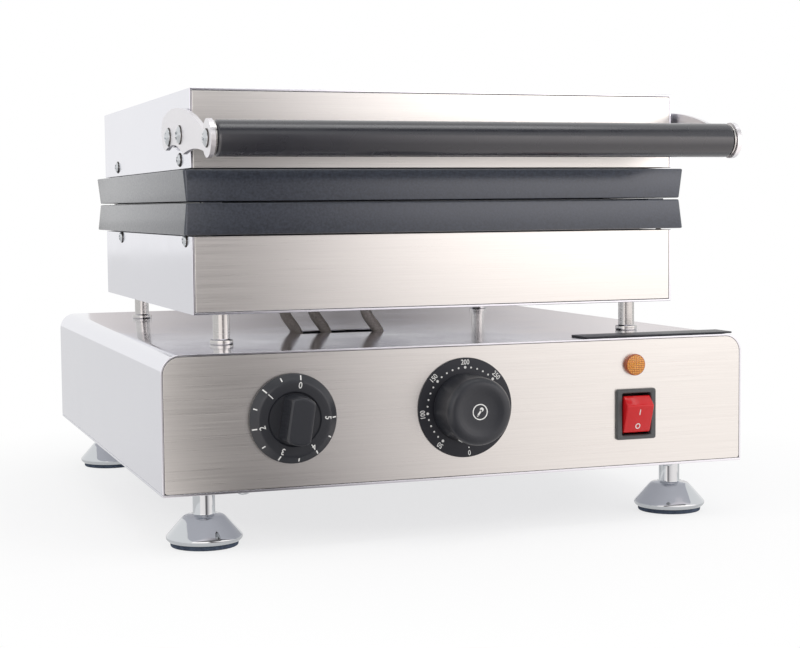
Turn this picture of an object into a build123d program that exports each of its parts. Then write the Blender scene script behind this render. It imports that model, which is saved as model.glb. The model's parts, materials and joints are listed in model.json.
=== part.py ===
"""Countertop ball maker with two heated cast plates, a hinged lid and a control box on four feet.

Frame: Z up, the surface it stands on is z = 0, +X to the user's right, +Y away from the user.
The origin is below the middle of the whole machine, with its handle and its cable gland.
All sizes are in millimetres.
"""

from build123d import *
from math import atan, cos, degrees, radians, sin, tan
import os

# Control box
BOX_WIDTH = 360.0
BOX_DEPTH = 391.0
BOX_HEIGHT = 78.3
BOX_BEND = 11.0
BOX_SHEET = 1.2
BOX_FLOOR = 1.5
FLOOR_FLANGE = 12.0
PANEL_SHEET = 1.5
PANEL_CORNER = 1.5

# Feet
FOOT_HEIGHT = 34.5
FOOT_SIDE_INSET = 30.5
FOOT_END_INSET = 35.0
PAD_RADIUS = 19.5
PAD_HEIGHT = 2.2
BELL_RADIUS = 22.0
BELL_LIP = 2.9
BELL_FLARE_HEIGHT = 6.7
BELL_FLARE_RADIUS = 17.0
BELL_TOP_RADIUS = 11.2
BELL_TOP = 18.0
STEM_RADIUS = 6.4

# Posts between the box and the lower housing
POST_RADIUS = 5.0
POST_FLANGE_RADIUS = 6.8
POST_FLANGE_HEIGHT = 2.8
POST_LENGTH = 18.7
POST_SIDE_INSET = 20.9
POST_INSET = 20.3

# Housings of both plates
HOUSING_WIDTH = 305.4
HOUSING_DEPTH = 292.4
HOUSING_FRONT = 39.2
HOUSING_SHEET = 1.3
LOWER_HOUSING_HEIGHT = 44.9
LID_HEIGHT = 45.3
HOUSING_FLANGE = 8.0
SEAT_GAP = 0.8

# Cast plates
PLATE_OVERHANG = 5.6
PLATE_REAR_OVERHANG = 4.6
PLATE_THICKNESS = 18.0
PLATE_DRAFT = 1.9
PLATE_CORNER = 2.0
PLATE_GAP = 1.0
SPIGOT_HEIGHT = 6.0
SPIGOT_GAP = 5.0
CAVITY_RADIUS = 19.0
CAVITY_ROWS = (3, 4, 3)
CAVITY_PITCH_X = 70.0
CAVITY_PITCH_Y = 74.0
CONTACT_PAD_WIDTH = 11.0
CONTACT_PAD_DEPTH = 6.0
CONTACT_PAD_HEIGHT = 0.7
CONTACT_PAD_SIDE_INSET = 15.5
CONTACT_PAD_END_INSET = 3.3
RIDGE_INSET = 12.0
RIDGE_WIDTH = 3.0

# Heating
HEATER_WIDTH = 8.0
HEATER_HEIGHT = 6.5
HEATER_LOOP_X = 234.0
HEATER_LOOP_Y = 236.0
HEATER_CORNER = 30.0
CLAMP_WIDTH = 20.0
CLAMP_HEIGHT = 3.0
CLAMP_LENGTH = 262.0
WOOL_THICKNESS = 20.0
WOOL_SIDE_GAP = 3.0

# Leads from the box up into the lower housing
LEAD_RADIUS = 3.6
LEAD_HOLE_GAP = 0.5
LEAD_END_GAP = 0.05
LEAD_PLACES = [(-64.5, 136.0), (-46.0, 134.0), (-15.5, 118.0)]
LEAD_LEAN = 20.0
TERMINAL_WIDTH = 70.0
TERMINAL_DEPTH = 34.0
TERMINAL_HEIGHT = 34.0

# Handle
GRIP_RADIUS = 9.8
GRIP_EDGE = 2.0
GRIP_AHEAD = 65.5
GRIP_ABOVE_LID_EDGE = 14.3
BRACKET_SHEET = 2.6
BRACKET_STAND_OFF = 2.7
BRACKET_EYE_RADIUS = 10.4
BRACKET_NECK = 1.2
BRACKET_CREST = 20.3
BRACKET_CREST_BACK = 85.0
BRACKET_TAIL_RISE = 7.5
BRACKET_TAIL_BACK = 110.0
BRACKET_TAIL_RADIUS = 10.4
BRACKET_CUSP_DROP = 6.7
BRACKET_CUSP_BACK = 61.0
BRACKET_FRONT_ARCH_DROP = 4.5
BRACKET_REAR_ARCH_DROP = 0.6
BRACKET_SEAT_RADIUS = 6.0
BRACKET_SCREWS = (68.3, 99.3)
BRACKET_SCREW_RISE = 4.5
END_GAP = 0.2

# Hinge
HINGE_SIDE_INSET = 21.7
HINGE_BEHIND = 22.5
HINGE_EYE_RADIUS = 9.0
PIN_RADIUS = 4.0
PIN_HEAD_RADIUS = 6.5
PIN_HEAD_HEIGHT = 2.5
PIN_FIT = 0.05
LUG_WIDTH = 8.0
LUG_SIDE_GAP = 0.3
LUG_FOOT_HEIGHT = 34.0
LUG_FOOT_WIDTH = 40.0
LUG_FOOT_SHEET = 4.0
STOP_DEPTH = 4.0
STOP_GAP = 0.3
LID_OPENS_TO = 95.0
PLATE_CLEARANCE = 1.4

# Controls on the front panel: in from the box's sides or from its middle, and above the worktop
TIMER_SIDE_INSET = 74.0
TIMER_Z = 74.9
THERMOSTAT_OFF_MIDDLE = -2.5
THERMOSTAT_Z = 75.9
LAMP_SIDE_INSET = 73.5
LAMP_Z = 96.5
SWITCH_SIDE_INSET = 72.5
SWITCH_Z = 66.7
SHAFT_RADIUS = 3.0
SHAFT_HOLE_GAP = 1.0
SHAFT_FIT = 0.05
SHAFT_IN_BODY = 12.0
KNOB_PANEL_GAP = 0.6

DIAL_RADIUS = 25.3
DIAL_RIM = 1.6
DIAL_BEVEL_RADIUS = 21.0
DIAL_HEIGHT = 5.2
DIAL_GRIP_WIDTH = 15.8
DIAL_GRIP_LENGTH = 28.4
DIAL_GRIP_LEAN = 9.0
DIAL_GRIP_TOP = 20.0
DIAL_GRIP_TAPER = 4.0
TIMER_BODY_WIDTH = 46.0
TIMER_BODY_HEIGHT = 54.0
TIMER_BODY_DEPTH = 38.0

SCALE_RADIUS = 29.0
SCALE_SHEET = 1.0
KNOB_SKIRT_RADIUS = 20.0
KNOB_TOP_RADIUS = 19.4
KNOB_HEIGHT = 24.0
KNOB_EDGE = 4.0
KNOB_DISH_RADIUS = 13.0
KNOB_DISH_DEPTH = 1.6
THERMOSTAT_BODY_SIDE = 34.0
THERMOSTAT_BODY_DEPTH = 30.0

LENS_RADIUS = 6.5
LENS_PROUD = 4.0
LENS_EDGE = 1.5
LAMP_BODY = 9.0
LAMP_BODY_DEPTH = 26.0

SWITCH_WIDTH = 26.0
SWITCH_HEIGHT = 30.5
SWITCH_RIM = 2.2
SWITCH_BODY_WIDTH = 21.0
SWITCH_BODY_HEIGHT = 27.4
SWITCH_BODY_DEPTH = 24.0
SWITCH_WELL = 13.0
ROCKER_WIDTH = 17.6
ROCKER_HEIGHT = 24.0
ROCKER_FACE_HEIGHT = 17.8
ROCKER_FACE_RISE = 8.0
ROCKER_WAIST_RISE = 0.5
ROCKER_FOOT_HEIGHT = 22.0
ROCKER_FOOT_DROP = 1.5
ROCKER_PIVOT_DEPTH = 2.5
ROCKER_TILT = 19.7
ROCKER_GAP = 0.5
TRUNNION_RADIUS = 1.2
TRUNNION_REACH = 1.3
TRUNNION_FIT = 0.05

# Plate lying on the front edge of the box top
EDGE_PLATE_WIDTH = 100.0
EDGE_PLATE_DEPTH = 20.0
EDGE_PLATE_SHEET = 1.0
EDGE_PLATE_SIDE_INSET = 4.0
EDGE_PLATE_FRONT_INSET = 3.5

# Cable gland at the rear
GLAND_SIDE_INSET = 70.0
GLAND_ABOVE_BOX_FLOOR = 24.0
GLAND_ACROSS = 20.0
GLAND_HEX_HEIGHT = 6.0
GLAND_NOSE_RADIUS = 8.0
GLAND_REACH = 14.0
GLAND_BORE_RADIUS = 4.0

# Clearances
SHEET_GAP = 0.2
HOLE_GAP = 0.05

# Places worked out from the sizes above
box_front = (GRIP_AHEAD - HOUSING_FRONT + BRACKET_EYE_RADIUS - BOX_DEPTH - GLAND_REACH) / 2
box_rear = box_front + BOX_DEPTH
box_bottom = FOOT_HEIGHT
box_top = box_bottom + BOX_HEIGHT
housing_front = box_front + HOUSING_FRONT
housing_rear = housing_front + HOUSING_DEPTH
housing_middle = (housing_front + housing_rear) / 2
lower_bottom = box_top + POST_LENGTH
lower_top = lower_bottom + LOWER_HOUSING_HEIGHT
lower_plate_bottom = lower_top + SEAT_GAP
lower_plate_top = lower_plate_bottom + PLATE_THICKNESS
upper_plate_bottom = lower_plate_top + PLATE_GAP
upper_plate_top = upper_plate_bottom + PLATE_THICKNESS
lid_bottom = upper_plate_top + SEAT_GAP
lid_top = lid_bottom + LID_HEIGHT
parting = (lower_plate_top + upper_plate_bottom) / 2
grip_y = housing_front - GRIP_AHEAD
grip_z = lid_bottom + GRIP_ABOVE_LID_EDGE
bracket_inner = HOUSING_WIDTH / 2 + BRACKET_STAND_OFF
hinge_x = HOUSING_WIDTH / 2 - HINGE_SIDE_INSET
hinge_y = housing_rear + HINGE_BEHIND
post_x = HOUSING_WIDTH / 2 - POST_SIDE_INSET
timer_x = TIMER_SIDE_INSET - BOX_WIDTH / 2
thermostat_x = THERMOSTAT_OFF_MIDDLE
lamp_x = BOX_WIDTH / 2 - LAMP_SIDE_INSET
switch_x = BOX_WIDTH / 2 - SWITCH_SIDE_INSET
gland_x = BOX_WIDTH / 2 - GLAND_SIDE_INSET
gland_z = box_bottom + GLAND_ABOVE_BOX_FLOOR
terminal_top = box_bottom + BOX_FLOOR + TERMINAL_HEIGHT
MIDDLE = (Align.CENTER, Align.CENTER, Align.MIN)
BEHIND = (Align.CENTER, Align.CENTER, Align.MAX)


def block(x, y, z):
    """A box between the two values given for each axis."""
    centre = Pos((x[0] + x[1]) / 2, (y[0] + y[1]) / 2, (z[0] + z[1]) / 2)
    return centre * Box(abs(x[1] - x[0]), abs(y[1] - y[0]), abs(z[1] - z[0]))


def turned(points):
    """A solid of revolution about Z from a closed outline of (radius, height) points."""
    return revolve(Plane.XZ * make_face(Polyline(*points, close=True)), Axis.Z)


def on_panel(shape, x, z):
    """Stand a shape on the front panel: its +Z points at the user and its +Y points up."""
    return Pos(x, box_front, z) * Rot(90, 0, 0) * shape


def across(face, low, high):
    """Extrude a face drawn with Y to the right and Z up from x = low to x = high."""
    return extrude(Plane.YZ.offset(low) * face, high - low)


def save(name, *solids):
    """Write one sub-part, of one solid or of several separate ones."""
    shape = solids[0] if len(solids) == 1 else Compound(children=list(solids))
    export_step(shape, f"parts/{name}.step")


# Control box
def foot_places():
    x = BOX_WIDTH / 2 - FOOT_SIDE_INSET
    ends = (box_front + FOOT_END_INSET, box_rear - FOOT_END_INSET)
    return [(sx * x, y) for y in ends for sx in (-1, 1)]


def section(width, height, bend, corner):
    """Front view of the box: rounded top corners and slightly eased bottom ones."""
    face = Rectangle(width, height, align=(Align.CENTER, Align.MIN))
    corners = face.vertices().group_by(Axis.Y)
    face = fillet(corners[-1], bend)
    if corner > 0:
        face = fillet(face.vertices().group_by(Axis.Y)[0], corner)
    return face


def box_slab(face, y_from, y_to):
    """Extrude a front view between two depths."""
    return extrude(Plane.XZ.offset(-y_to) * face, y_to - y_from)


def lead_x(place, z):
    """Middle of a lead at height z, from its place on the box top and its lean."""
    return place[0] - (z - box_top) * tan(radians(LEAD_LEAN))


def lead_slot(z_from, z_to, rim):
    """One slot for all the leads between two heights, with a rim left free round them."""
    xs = [lead_x(place, z) for place in LEAD_PLACES for z in (z_from, z_to)]
    ys = [box_front + place[1] for place in LEAD_PLACES]
    return block((min(xs) - rim, max(xs) + rim), (min(ys) - rim, max(ys) + rim), (z_from, z_to))


def base_cover():
    """Top and both sides of the box, one bent sheet, resting on the floor's rim."""
    low = box_bottom + BOX_FLOOR
    height = box_top - low
    outer = section(BOX_WIDTH, height, BOX_BEND, 0)
    inner = section(BOX_WIDTH - 2 * BOX_SHEET, height - BOX_SHEET, BOX_BEND - BOX_SHEET, 0)
    sheet = Pos(0, 0, low) * box_slab(outer - inner, box_front, box_rear)
    return sheet - lead_slot(box_top - 2 * BOX_SHEET, box_top + BOX_SHEET, LEAD_RADIUS + LEAD_HOLE_GAP)


def bottom_plate():
    """Floor of the box, with a flange turned up inside the cover along each side."""
    half = BOX_WIDTH / 2
    side = half - BOX_SHEET - SHEET_GAP
    floor = block((-half, half), (box_front, box_rear), (box_bottom, box_bottom + BOX_FLOOR))
    flange_top = box_bottom + BOX_FLOOR + FLOOR_FLANGE
    ends = (box_front + FLOOR_FLANGE, box_rear - FLOOR_FLANGE)
    for sx in (-1, 1):
        floor += block((sx * (side - BOX_FLOOR), sx * side), ends, (box_bottom, flange_top))
    return floor


def panel():
    """Flat end panel of the box, with its face at y = 0 and inside the cover's edge."""
    width = BOX_WIDTH - 2 * (BOX_SHEET + SHEET_GAP)
    height = BOX_HEIGHT - BOX_FLOOR - BOX_SHEET - 2 * SHEET_GAP
    face = section(width, height, BOX_BEND - BOX_SHEET - SHEET_GAP, PANEL_CORNER)
    return Pos(0, 0, box_bottom + BOX_FLOOR + SHEET_GAP) * box_slab(face, 0, PANEL_SHEET)


def front_panel():
    """Front panel with the openings for both shafts, the lamp and the switch."""
    deep = 4 * PANEL_SHEET
    shaft = Cylinder(SHAFT_RADIUS + SHAFT_HOLE_GAP, deep)
    lamp = Box(LAMP_BODY + 2 * HOLE_GAP, LAMP_BODY + 2 * HOLE_GAP, deep)
    switch = Box(SWITCH_BODY_WIDTH + 2 * HOLE_GAP, SWITCH_BODY_HEIGHT + 2 * HOLE_GAP, deep)
    cuts = [
        on_panel(shaft, timer_x, TIMER_Z),
        on_panel(shaft, thermostat_x, THERMOSTAT_Z),
        on_panel(lamp, lamp_x, LAMP_Z),
        on_panel(switch, switch_x, SWITCH_Z),
    ]
    return Pos(0, box_front, 0) * panel() - cuts


def rear_panel():
    """Rear panel, the same plate, with the hole behind the cable gland."""
    plate = Pos(0, box_rear, 0) * Rot(0, 0, 180) * panel()
    hole = Cylinder(GLAND_BORE_RADIUS, 4 * PANEL_SHEET)
    return plate - Pos(gland_x, box_rear, gland_z) * Rot(90, 0, 0) * hole


def cable_gland():
    """Hexagon and round nose on the rear panel, with a bore for a cable."""
    body = extrude(RegularPolygon(GLAND_ACROSS / 2, 6, major_radius=False), GLAND_HEX_HEIGHT)
    body += Cylinder(GLAND_NOSE_RADIUS, GLAND_REACH, align=MIDDLE)
    body -= Cylinder(GLAND_BORE_RADIUS, 4 * GLAND_REACH)
    return Pos(gland_x, box_rear, gland_z) * Rot(-90, 0, 0) * body


def foot():
    """Chrome bell, widest above its pad, with a slope up to a shoulder and a smooth stem to the box."""
    flare = PAD_HEIGHT + BELL_LIP
    return turned(
        [
            (0, PAD_HEIGHT),
            (PAD_RADIUS, PAD_HEIGHT),
            (BELL_RADIUS, flare),
            (BELL_FLARE_RADIUS, flare + BELL_FLARE_HEIGHT),
            (BELL_TOP_RADIUS, BELL_TOP),
            (STEM_RADIUS, BELL_TOP),
            (STEM_RADIUS, FOOT_HEIGHT),
            (0, FOOT_HEIGHT),
        ]
    )


def post():
    """Stand-off post with a wider foot."""
    return turned(
        [
            (0, box_top),
            (POST_FLANGE_RADIUS, box_top),
            (POST_FLANGE_RADIUS, box_top + POST_FLANGE_HEIGHT),
            (POST_RADIUS, box_top + POST_FLANGE_HEIGHT),
            (POST_RADIUS, lower_bottom),
            (0, lower_bottom),
        ]
    )


def post_places():
    ends = (housing_front + POST_INSET, housing_rear - POST_INSET)
    return [(sx * post_x, y) for y in ends for sx in (-1, 1)]


def edge_plate():
    """Thin bare plate lying on the box top along its front edge."""
    right = BOX_WIDTH / 2 - EDGE_PLATE_SIDE_INSET
    near = box_front + EDGE_PLATE_FRONT_INSET
    return block(
        (right - EDGE_PLATE_WIDTH, right),
        (near, near + EDGE_PLATE_DEPTH),
        (box_top, box_top + EDGE_PLATE_SHEET),
    )


# Controls
def timer_body():
    """Clockwork timer behind the panel, with a bore for the knob's shaft."""
    case = Box(TIMER_BODY_WIDTH, TIMER_BODY_HEIGHT, TIMER_BODY_DEPTH, align=BEHIND)
    bore = Cylinder(SHAFT_RADIUS + SHAFT_FIT, 2 * (PANEL_SHEET + SHAFT_IN_BODY + SHAFT_FIT))
    return on_panel(Pos(0, 0, -PANEL_SHEET) * case - bore, timer_x, TIMER_Z)


def timer_knob():
    """Numbered dial with a bevelled rim and a bar to grip, whose ends follow a circle."""
    low = KNOB_PANEL_GAP
    dial = turned(
        [
            (0, low),
            (DIAL_RADIUS, low),
            (DIAL_RADIUS, low + DIAL_RIM),
            (DIAL_BEVEL_RADIUS, low + DIAL_HEIGHT),
            (0, low + DIAL_HEIGHT),
        ]
    )
    bar = Rectangle(DIAL_GRIP_WIDTH, DIAL_GRIP_LENGTH) & Circle(DIAL_GRIP_LENGTH / 2)
    bar = Rot(0, 0, -DIAL_GRIP_LEAN) * bar
    height = DIAL_GRIP_TOP - low - DIAL_HEIGHT
    grip = Pos(0, 0, low + DIAL_HEIGHT) * extrude(bar, height, taper=DIAL_GRIP_TAPER)
    return on_panel(dial + grip, timer_x, TIMER_Z)


def shaft(back):
    """Round spindle from inside its body to the back of its knob."""
    return Pos(0, 0, -back) * Cylinder(SHAFT_RADIUS, back + KNOB_PANEL_GAP, align=MIDDLE)


def thermostat_body():
    """Capillary thermostat behind the panel, with a bore for the knob's shaft."""
    side = THERMOSTAT_BODY_SIDE
    case = Box(side, side, THERMOSTAT_BODY_DEPTH, align=BEHIND)
    bore = Cylinder(SHAFT_RADIUS + SHAFT_FIT, 2 * (PANEL_SHEET + SHAFT_IN_BODY + SHAFT_FIT))
    return on_panel(Pos(0, 0, -PANEL_SHEET) * case - bore, thermostat_x, THERMOSTAT_Z)


def thermostat_scale():
    """Round scale plate on the panel round the thermostat's shaft."""
    ring = Cylinder(SCALE_RADIUS, SCALE_SHEET, align=MIDDLE)
    ring -= Cylinder(SHAFT_RADIUS + SHAFT_HOLE_GAP, 4 * SCALE_SHEET)
    return on_panel(ring, thermostat_x, THERMOSTAT_Z)


def thermostat_knob():
    """Round knob that narrows to a dished cap."""
    low = SCALE_SHEET + KNOB_PANEL_GAP
    high = low + KNOB_HEIGHT
    knob = turned(
        [
            (0, low),
            (KNOB_SKIRT_RADIUS, low),
            (KNOB_TOP_RADIUS, high - KNOB_EDGE),
            (KNOB_TOP_RADIUS - KNOB_EDGE, high),
            (KNOB_DISH_RADIUS, high),
            (0, high - KNOB_DISH_DEPTH),
        ]
    )
    return on_panel(knob, thermostat_x, THERMOSTAT_Z)


def lamp_body():
    """Square snap-in body of the pilot lamp."""
    return on_panel(Box(LAMP_BODY, LAMP_BODY, LAMP_BODY_DEPTH, align=BEHIND), lamp_x, LAMP_Z)


def lamp_lens():
    """Round amber lens with an eased edge."""
    lens = turned(
        [
            (0, 0),
            (LENS_RADIUS, 0),
            (LENS_RADIUS, LENS_PROUD - LENS_EDGE),
            (LENS_RADIUS - LENS_EDGE, LENS_PROUD),
            (0, LENS_PROUD),
        ]
    )
    return on_panel(lens, lamp_x, LAMP_Z)


def switch_body():
    """Rim outside the panel and body behind it, with the well and the bores that the rocker tips in."""
    rim = Box(SWITCH_WIDTH, SWITCH_HEIGHT, SWITCH_RIM, align=MIDDLE)
    body = Box(SWITCH_BODY_WIDTH, SWITCH_BODY_HEIGHT, SWITCH_BODY_DEPTH, align=BEHIND)
    well_size = (ROCKER_WIDTH + 2 * ROCKER_GAP, ROCKER_HEIGHT + 2 * ROCKER_GAP, 2 * SWITCH_WELL)
    well = Pos(0, 0, SWITCH_RIM) * Box(*well_size)
    bore = Rot(0, 90, 0) * Cylinder(TRUNNION_RADIUS + TRUNNION_FIT, 2 * SWITCH_BODY_WIDTH)
    return on_panel(rim + body - well - Pos(0, 0, -ROCKER_PIVOT_DEPTH) * bore, switch_x, SWITCH_Z)


def rocker():
    """Rocker with a flat face and two trunnions, drawn about its pivot and tipped to its off position."""
    half_face = ROCKER_FACE_HEIGHT / 2
    half_waist = ROCKER_HEIGHT / 2
    half_foot = ROCKER_FOOT_HEIGHT / 2
    side_view = make_face(
        Polyline(
            (-half_foot, -ROCKER_FOOT_DROP),
            (half_foot, -ROCKER_FOOT_DROP),
            (half_waist, ROCKER_WAIST_RISE),
            (half_face, ROCKER_FACE_RISE),
            (-half_face, ROCKER_FACE_RISE),
            (-half_waist, ROCKER_WAIST_RISE),
            close=True,
        )
    )
    level = across(side_view, -ROCKER_WIDTH / 2, ROCKER_WIDTH / 2)
    level += Rot(0, 90, 0) * Cylinder(TRUNNION_RADIUS, ROCKER_WIDTH + 2 * TRUNNION_REACH)
    tipped = Pos(0, 0, -ROCKER_PIVOT_DEPTH) * Rot(ROCKER_TILT, 0, 0) * level
    return on_panel(tipped, switch_x, SWITCH_Z)


# Housings
def housing_channel(height, floor_low):
    """A floor and two side walls bent from one sheet, open at both ends."""
    half = HOUSING_WIDTH / 2
    deep = HOUSING_DEPTH
    outer = Box(2 * half, deep, height, align=MIDDLE)
    inner = Pos(0, 0, HOUSING_SHEET) * Box(2 * (half - HOUSING_SHEET), 2 * deep, height, align=MIDDLE)
    return Pos(0, housing_middle, floor_low) * (outer - inner)


def housing_end(height, low, front):
    """An end panel with a flange turned in along each side and along the floor."""
    half = HOUSING_WIDTH / 2 - HOUSING_SHEET - SHEET_GAP
    outer = (-half, half)
    inner = (-half + HOUSING_SHEET, half - HOUSING_SHEET)
    near = housing_front if front else housing_rear
    inward = 1 if front else -1
    sheet = near + inward * HOUSING_SHEET
    back = near + inward * HOUSING_FLANGE
    base = low + HOUSING_SHEET + SHEET_GAP
    top = low + height
    return block(outer, (near, back), (base, top)) - block(
        inner, (sheet, back + inward), (base + HOUSING_SHEET, top + HOUSING_SHEET)
    )


def lid_version(shape):
    """Turn a housing piece that is drawn for the lower side upside down into the lid."""
    return Pos(0, 0, lid_top + lower_bottom) * mirror(shape, Plane.XY)


def lower_housing():
    """Lower channel, with the slot that the leads come up through."""
    channel = housing_channel(LOWER_HOUSING_HEIGHT, lower_bottom)
    top = lower_bottom + 2 * HOUSING_SHEET
    return channel - lead_slot(lower_bottom - HOUSING_SHEET, top, LEAD_RADIUS + LEAD_HOLE_GAP)


# Cast plates and their heating
def cavity_places():
    """Centres of the cavities in staggered rows, from the middle of the housings."""
    places = []
    for row, count in enumerate(CAVITY_ROWS):
        y = (row - (len(CAVITY_ROWS) - 1) / 2) * CAVITY_PITCH_Y
        places += [((i - (count - 1) / 2) * CAVITY_PITCH_X, y) for i in range(count)]
    return places


def cast_plate():
    """Lower plate with its face at z = 0: drafted rim, ball cavities and a spigot below."""
    wide_x = HOUSING_WIDTH + 2 * PLATE_OVERHANG
    wide_y = HOUSING_DEPTH + PLATE_OVERHANG + PLATE_REAR_OVERHANG
    middle_y = (PLATE_REAR_OVERHANG - PLATE_OVERHANG) / 2
    rim = Pos(0, middle_y, -PLATE_THICKNESS) * RectangleRounded(wide_x, wide_y, PLATE_CORNER)
    plate = extrude(rim, PLATE_THICKNESS, taper=degrees(atan(PLATE_DRAFT / PLATE_THICKNESS)))
    inside = 2 * (HOUSING_SHEET + HOUSING_FLANGE + SPIGOT_GAP)
    spigot = Box(HOUSING_WIDTH - inside, HOUSING_DEPTH - inside, SPIGOT_HEIGHT, align=MIDDLE)
    plate += Pos(0, 0, -PLATE_THICKNESS - SPIGOT_HEIGHT) * spigot
    return plate - [Pos(x, y, 0) * Sphere(CAVITY_RADIUS) for x, y in cavity_places()]


def lower_plate():
    return Pos(0, housing_middle, lower_plate_top) * cast_plate()


def upper_plate():
    return Pos(0, housing_middle, upper_plate_bottom) * mirror(cast_plate(), Plane.XY)


def contact_pads():
    """Pads near the lower plate's corners and a low ridge all round, which keep the plates' faces apart."""
    left = HOUSING_WIDTH / 2 + PLATE_OVERHANG
    near = housing_front - PLATE_OVERHANG
    far = housing_rear + PLATE_REAR_OVERHANG
    top = lower_plate_top + CONTACT_PAD_HEIGHT
    outer = RIDGE_INSET
    inner = RIDGE_INSET + RIDGE_WIDTH
    ridge = block((outer - left, left - outer), (near + outer, far - outer), (lower_plate_top, top))
    ridge -= block((inner - left, left - inner), (near + inner, far - inner), (lower_plate_bottom, top + 1))
    pad = Box(CONTACT_PAD_WIDTH, CONTACT_PAD_DEPTH, CONTACT_PAD_HEIGHT, align=MIDDLE)
    x = left - CONTACT_PAD_SIDE_INSET - CONTACT_PAD_WIDTH / 2
    inset = CONTACT_PAD_END_INSET + CONTACT_PAD_DEPTH / 2
    places = [(sx * x, y) for y in (near + inset, far - inset) for sx in (-1, 1)]
    return [ridge] + [Pos(x, y, lower_plate_top) * pad for x, y in places]


def heater(z_from):
    """Flat-pressed heating element: one wide loop, open at the rear, where both ends come out."""
    outer = RectangleRounded(HEATER_LOOP_X, HEATER_LOOP_Y, HEATER_CORNER)
    slot = HEATER_LOOP_X - 2 * HEATER_WIDTH
    outer -= RectangleRounded(slot, HEATER_LOOP_Y - 2 * HEATER_WIDTH, HEATER_CORNER - HEATER_WIDTH)
    outer -= Pos(0, HEATER_LOOP_Y / 2) * Rectangle(2 * HEATER_LOOP_X, 2 * HEATER_CORNER)
    return Pos(0, housing_middle, z_from) * extrude(outer, HEATER_HEIGHT)


def clamp_bars(z_from):
    """Three flat bars that press the element against the plate."""
    bar = Box(CLAMP_LENGTH, CLAMP_WIDTH, CLAMP_HEIGHT, align=MIDDLE)
    return [Pos(0, housing_middle + y, z_from) * bar for y in (-HEATER_LOOP_Y / 3, 0, HEATER_LOOP_Y / 3)]


def wool(z_from):
    """Blanket of mineral wool that fills the housing's floor."""
    inside = 2 * (HOUSING_SHEET + WOOL_SIDE_GAP)
    deep = HOUSING_DEPTH - 2 * (HOUSING_FLANGE + WOOL_SIDE_GAP)
    return Pos(0, housing_middle, z_from) * Box(HOUSING_WIDTH - inside, deep, WOOL_THICKNESS, align=MIDDLE)


def lower_wool():
    """Lower blanket, cut through round the leads."""
    low = lower_bottom + HOUSING_SHEET
    return wool(low) - lead_slot(low, low + WOOL_THICKNESS, LEAD_RADIUS + LEAD_HOLE_GAP)


# Leads
def lead(place):
    """One sleeved lead, leaning from the terminal block up through the wool to the element."""
    lean = radians(LEAD_LEAN)
    low = terminal_top + LEAD_RADIUS * sin(lean) + LEAD_END_GAP
    high = lower_bottom + HOUSING_SHEET + WOOL_THICKNESS
    tube = Cylinder(LEAD_RADIUS, (high - low) / cos(lean), align=MIDDLE)
    return Pos(lead_x(place, low), box_front + place[1], low) * Rot(0, -LEAD_LEAN, 0) * tube


def terminal_block():
    """Ceramic terminal block on the floor of the box, under the leads."""
    x = sum(lead_x(place, terminal_top) for place in LEAD_PLACES) / len(LEAD_PLACES)
    y = sum(place[1] for place in LEAD_PLACES) / len(LEAD_PLACES)
    body = Box(TERMINAL_WIDTH, TERMINAL_DEPTH, TERMINAL_HEIGHT, align=MIDDLE)
    return Pos(x, box_front + y, box_bottom + BOX_FLOOR) * body


# Hinge
def knuckle(wall_low, wall_high, bore):
    """Side view of one hinge leaf: a foot on a rear wall, a web round the plate's edge and the eye."""
    clear = housing_rear + PLATE_REAR_OVERHANG + PLATE_CLEARANCE
    near, far = sorted((wall_low, wall_high), key=lambda z: abs(z - parting))
    back = hinge_y + HINGE_EYE_RADIUS
    web = make_face(
        Polyline(
            (clear, parting),
            (clear, near),
            (housing_rear, near),
            (housing_rear, far),
            (housing_rear + LUG_FOOT_SHEET, far),
            (back, (near + far) / 2),
            (back, parting),
            close=True,
        )
    )
    return web + Pos(hinge_y, parting) * Circle(HINGE_EYE_RADIUS) - Pos(hinge_y, parting) * Circle(bore)


def leaf(wall_low, wall_high, bore, x_from, x_to):
    """One hinge leaf with its foot plate against the rear wall."""
    half = LUG_FOOT_WIDTH / 2
    foot_plate = block((-half, half), (housing_rear, housing_rear + LUG_FOOT_SHEET), (wall_low, wall_high))
    return across(knuckle(wall_low, wall_high, bore), x_from, x_to) + foot_plate


def stop_height():
    """Top of the stop, which the lid's leaf comes down to when the lid is fully open."""
    past = radians(LID_OPENS_TO - 90)
    reach = HINGE_EYE_RADIUS / cos(past) + HINGE_EYE_RADIUS * tan(past)
    return parting - reach - STOP_GAP


def hinge_lug(sx):
    """Leaf on the lower housing, with a stop block that reaches under the lid's leaf."""
    high = lower_top - PLATE_CLEARANCE
    low = high - LUG_FOOT_HEIGHT
    lug = leaf(low, high, PIN_RADIUS + HOLE_GAP, -LUG_SIDE_GAP - LUG_WIDTH, -LUG_SIDE_GAP)
    back = hinge_y + HINGE_EYE_RADIUS
    reach = LUG_SIDE_GAP + LUG_WIDTH
    lug += block((-reach, reach), (back - STOP_DEPTH, back), ((low + high) / 2, stop_height()))
    return Pos(sx * hinge_x, 0, 0) * lug


def hinge_arm(sx):
    """Leaf on the lid's rear wall, beside the lug."""
    low = lid_bottom + PLATE_CLEARANCE
    arm = leaf(low, low + LUG_FOOT_HEIGHT, PIN_RADIUS + PIN_FIT, LUG_SIDE_GAP, LUG_SIDE_GAP + LUG_WIDTH)
    return Pos(sx * hinge_x, 0, 0) * arm


def hinge_pin(sx):
    """Pin with a head at both ends, through the lug and the arm."""
    outer = LUG_SIDE_GAP + LUG_WIDTH + LUG_SIDE_GAP
    pin = Cylinder(PIN_RADIUS, 2 * outer)
    for side in (-1, 1):
        pin += Pos(0, 0, side * (outer + PIN_HEAD_HEIGHT / 2)) * Cylinder(PIN_HEAD_RADIUS, PIN_HEAD_HEIGHT)
    return Pos(sx * hinge_x, hinge_y, parting) * Rot(0, 90, 0) * pin


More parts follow.
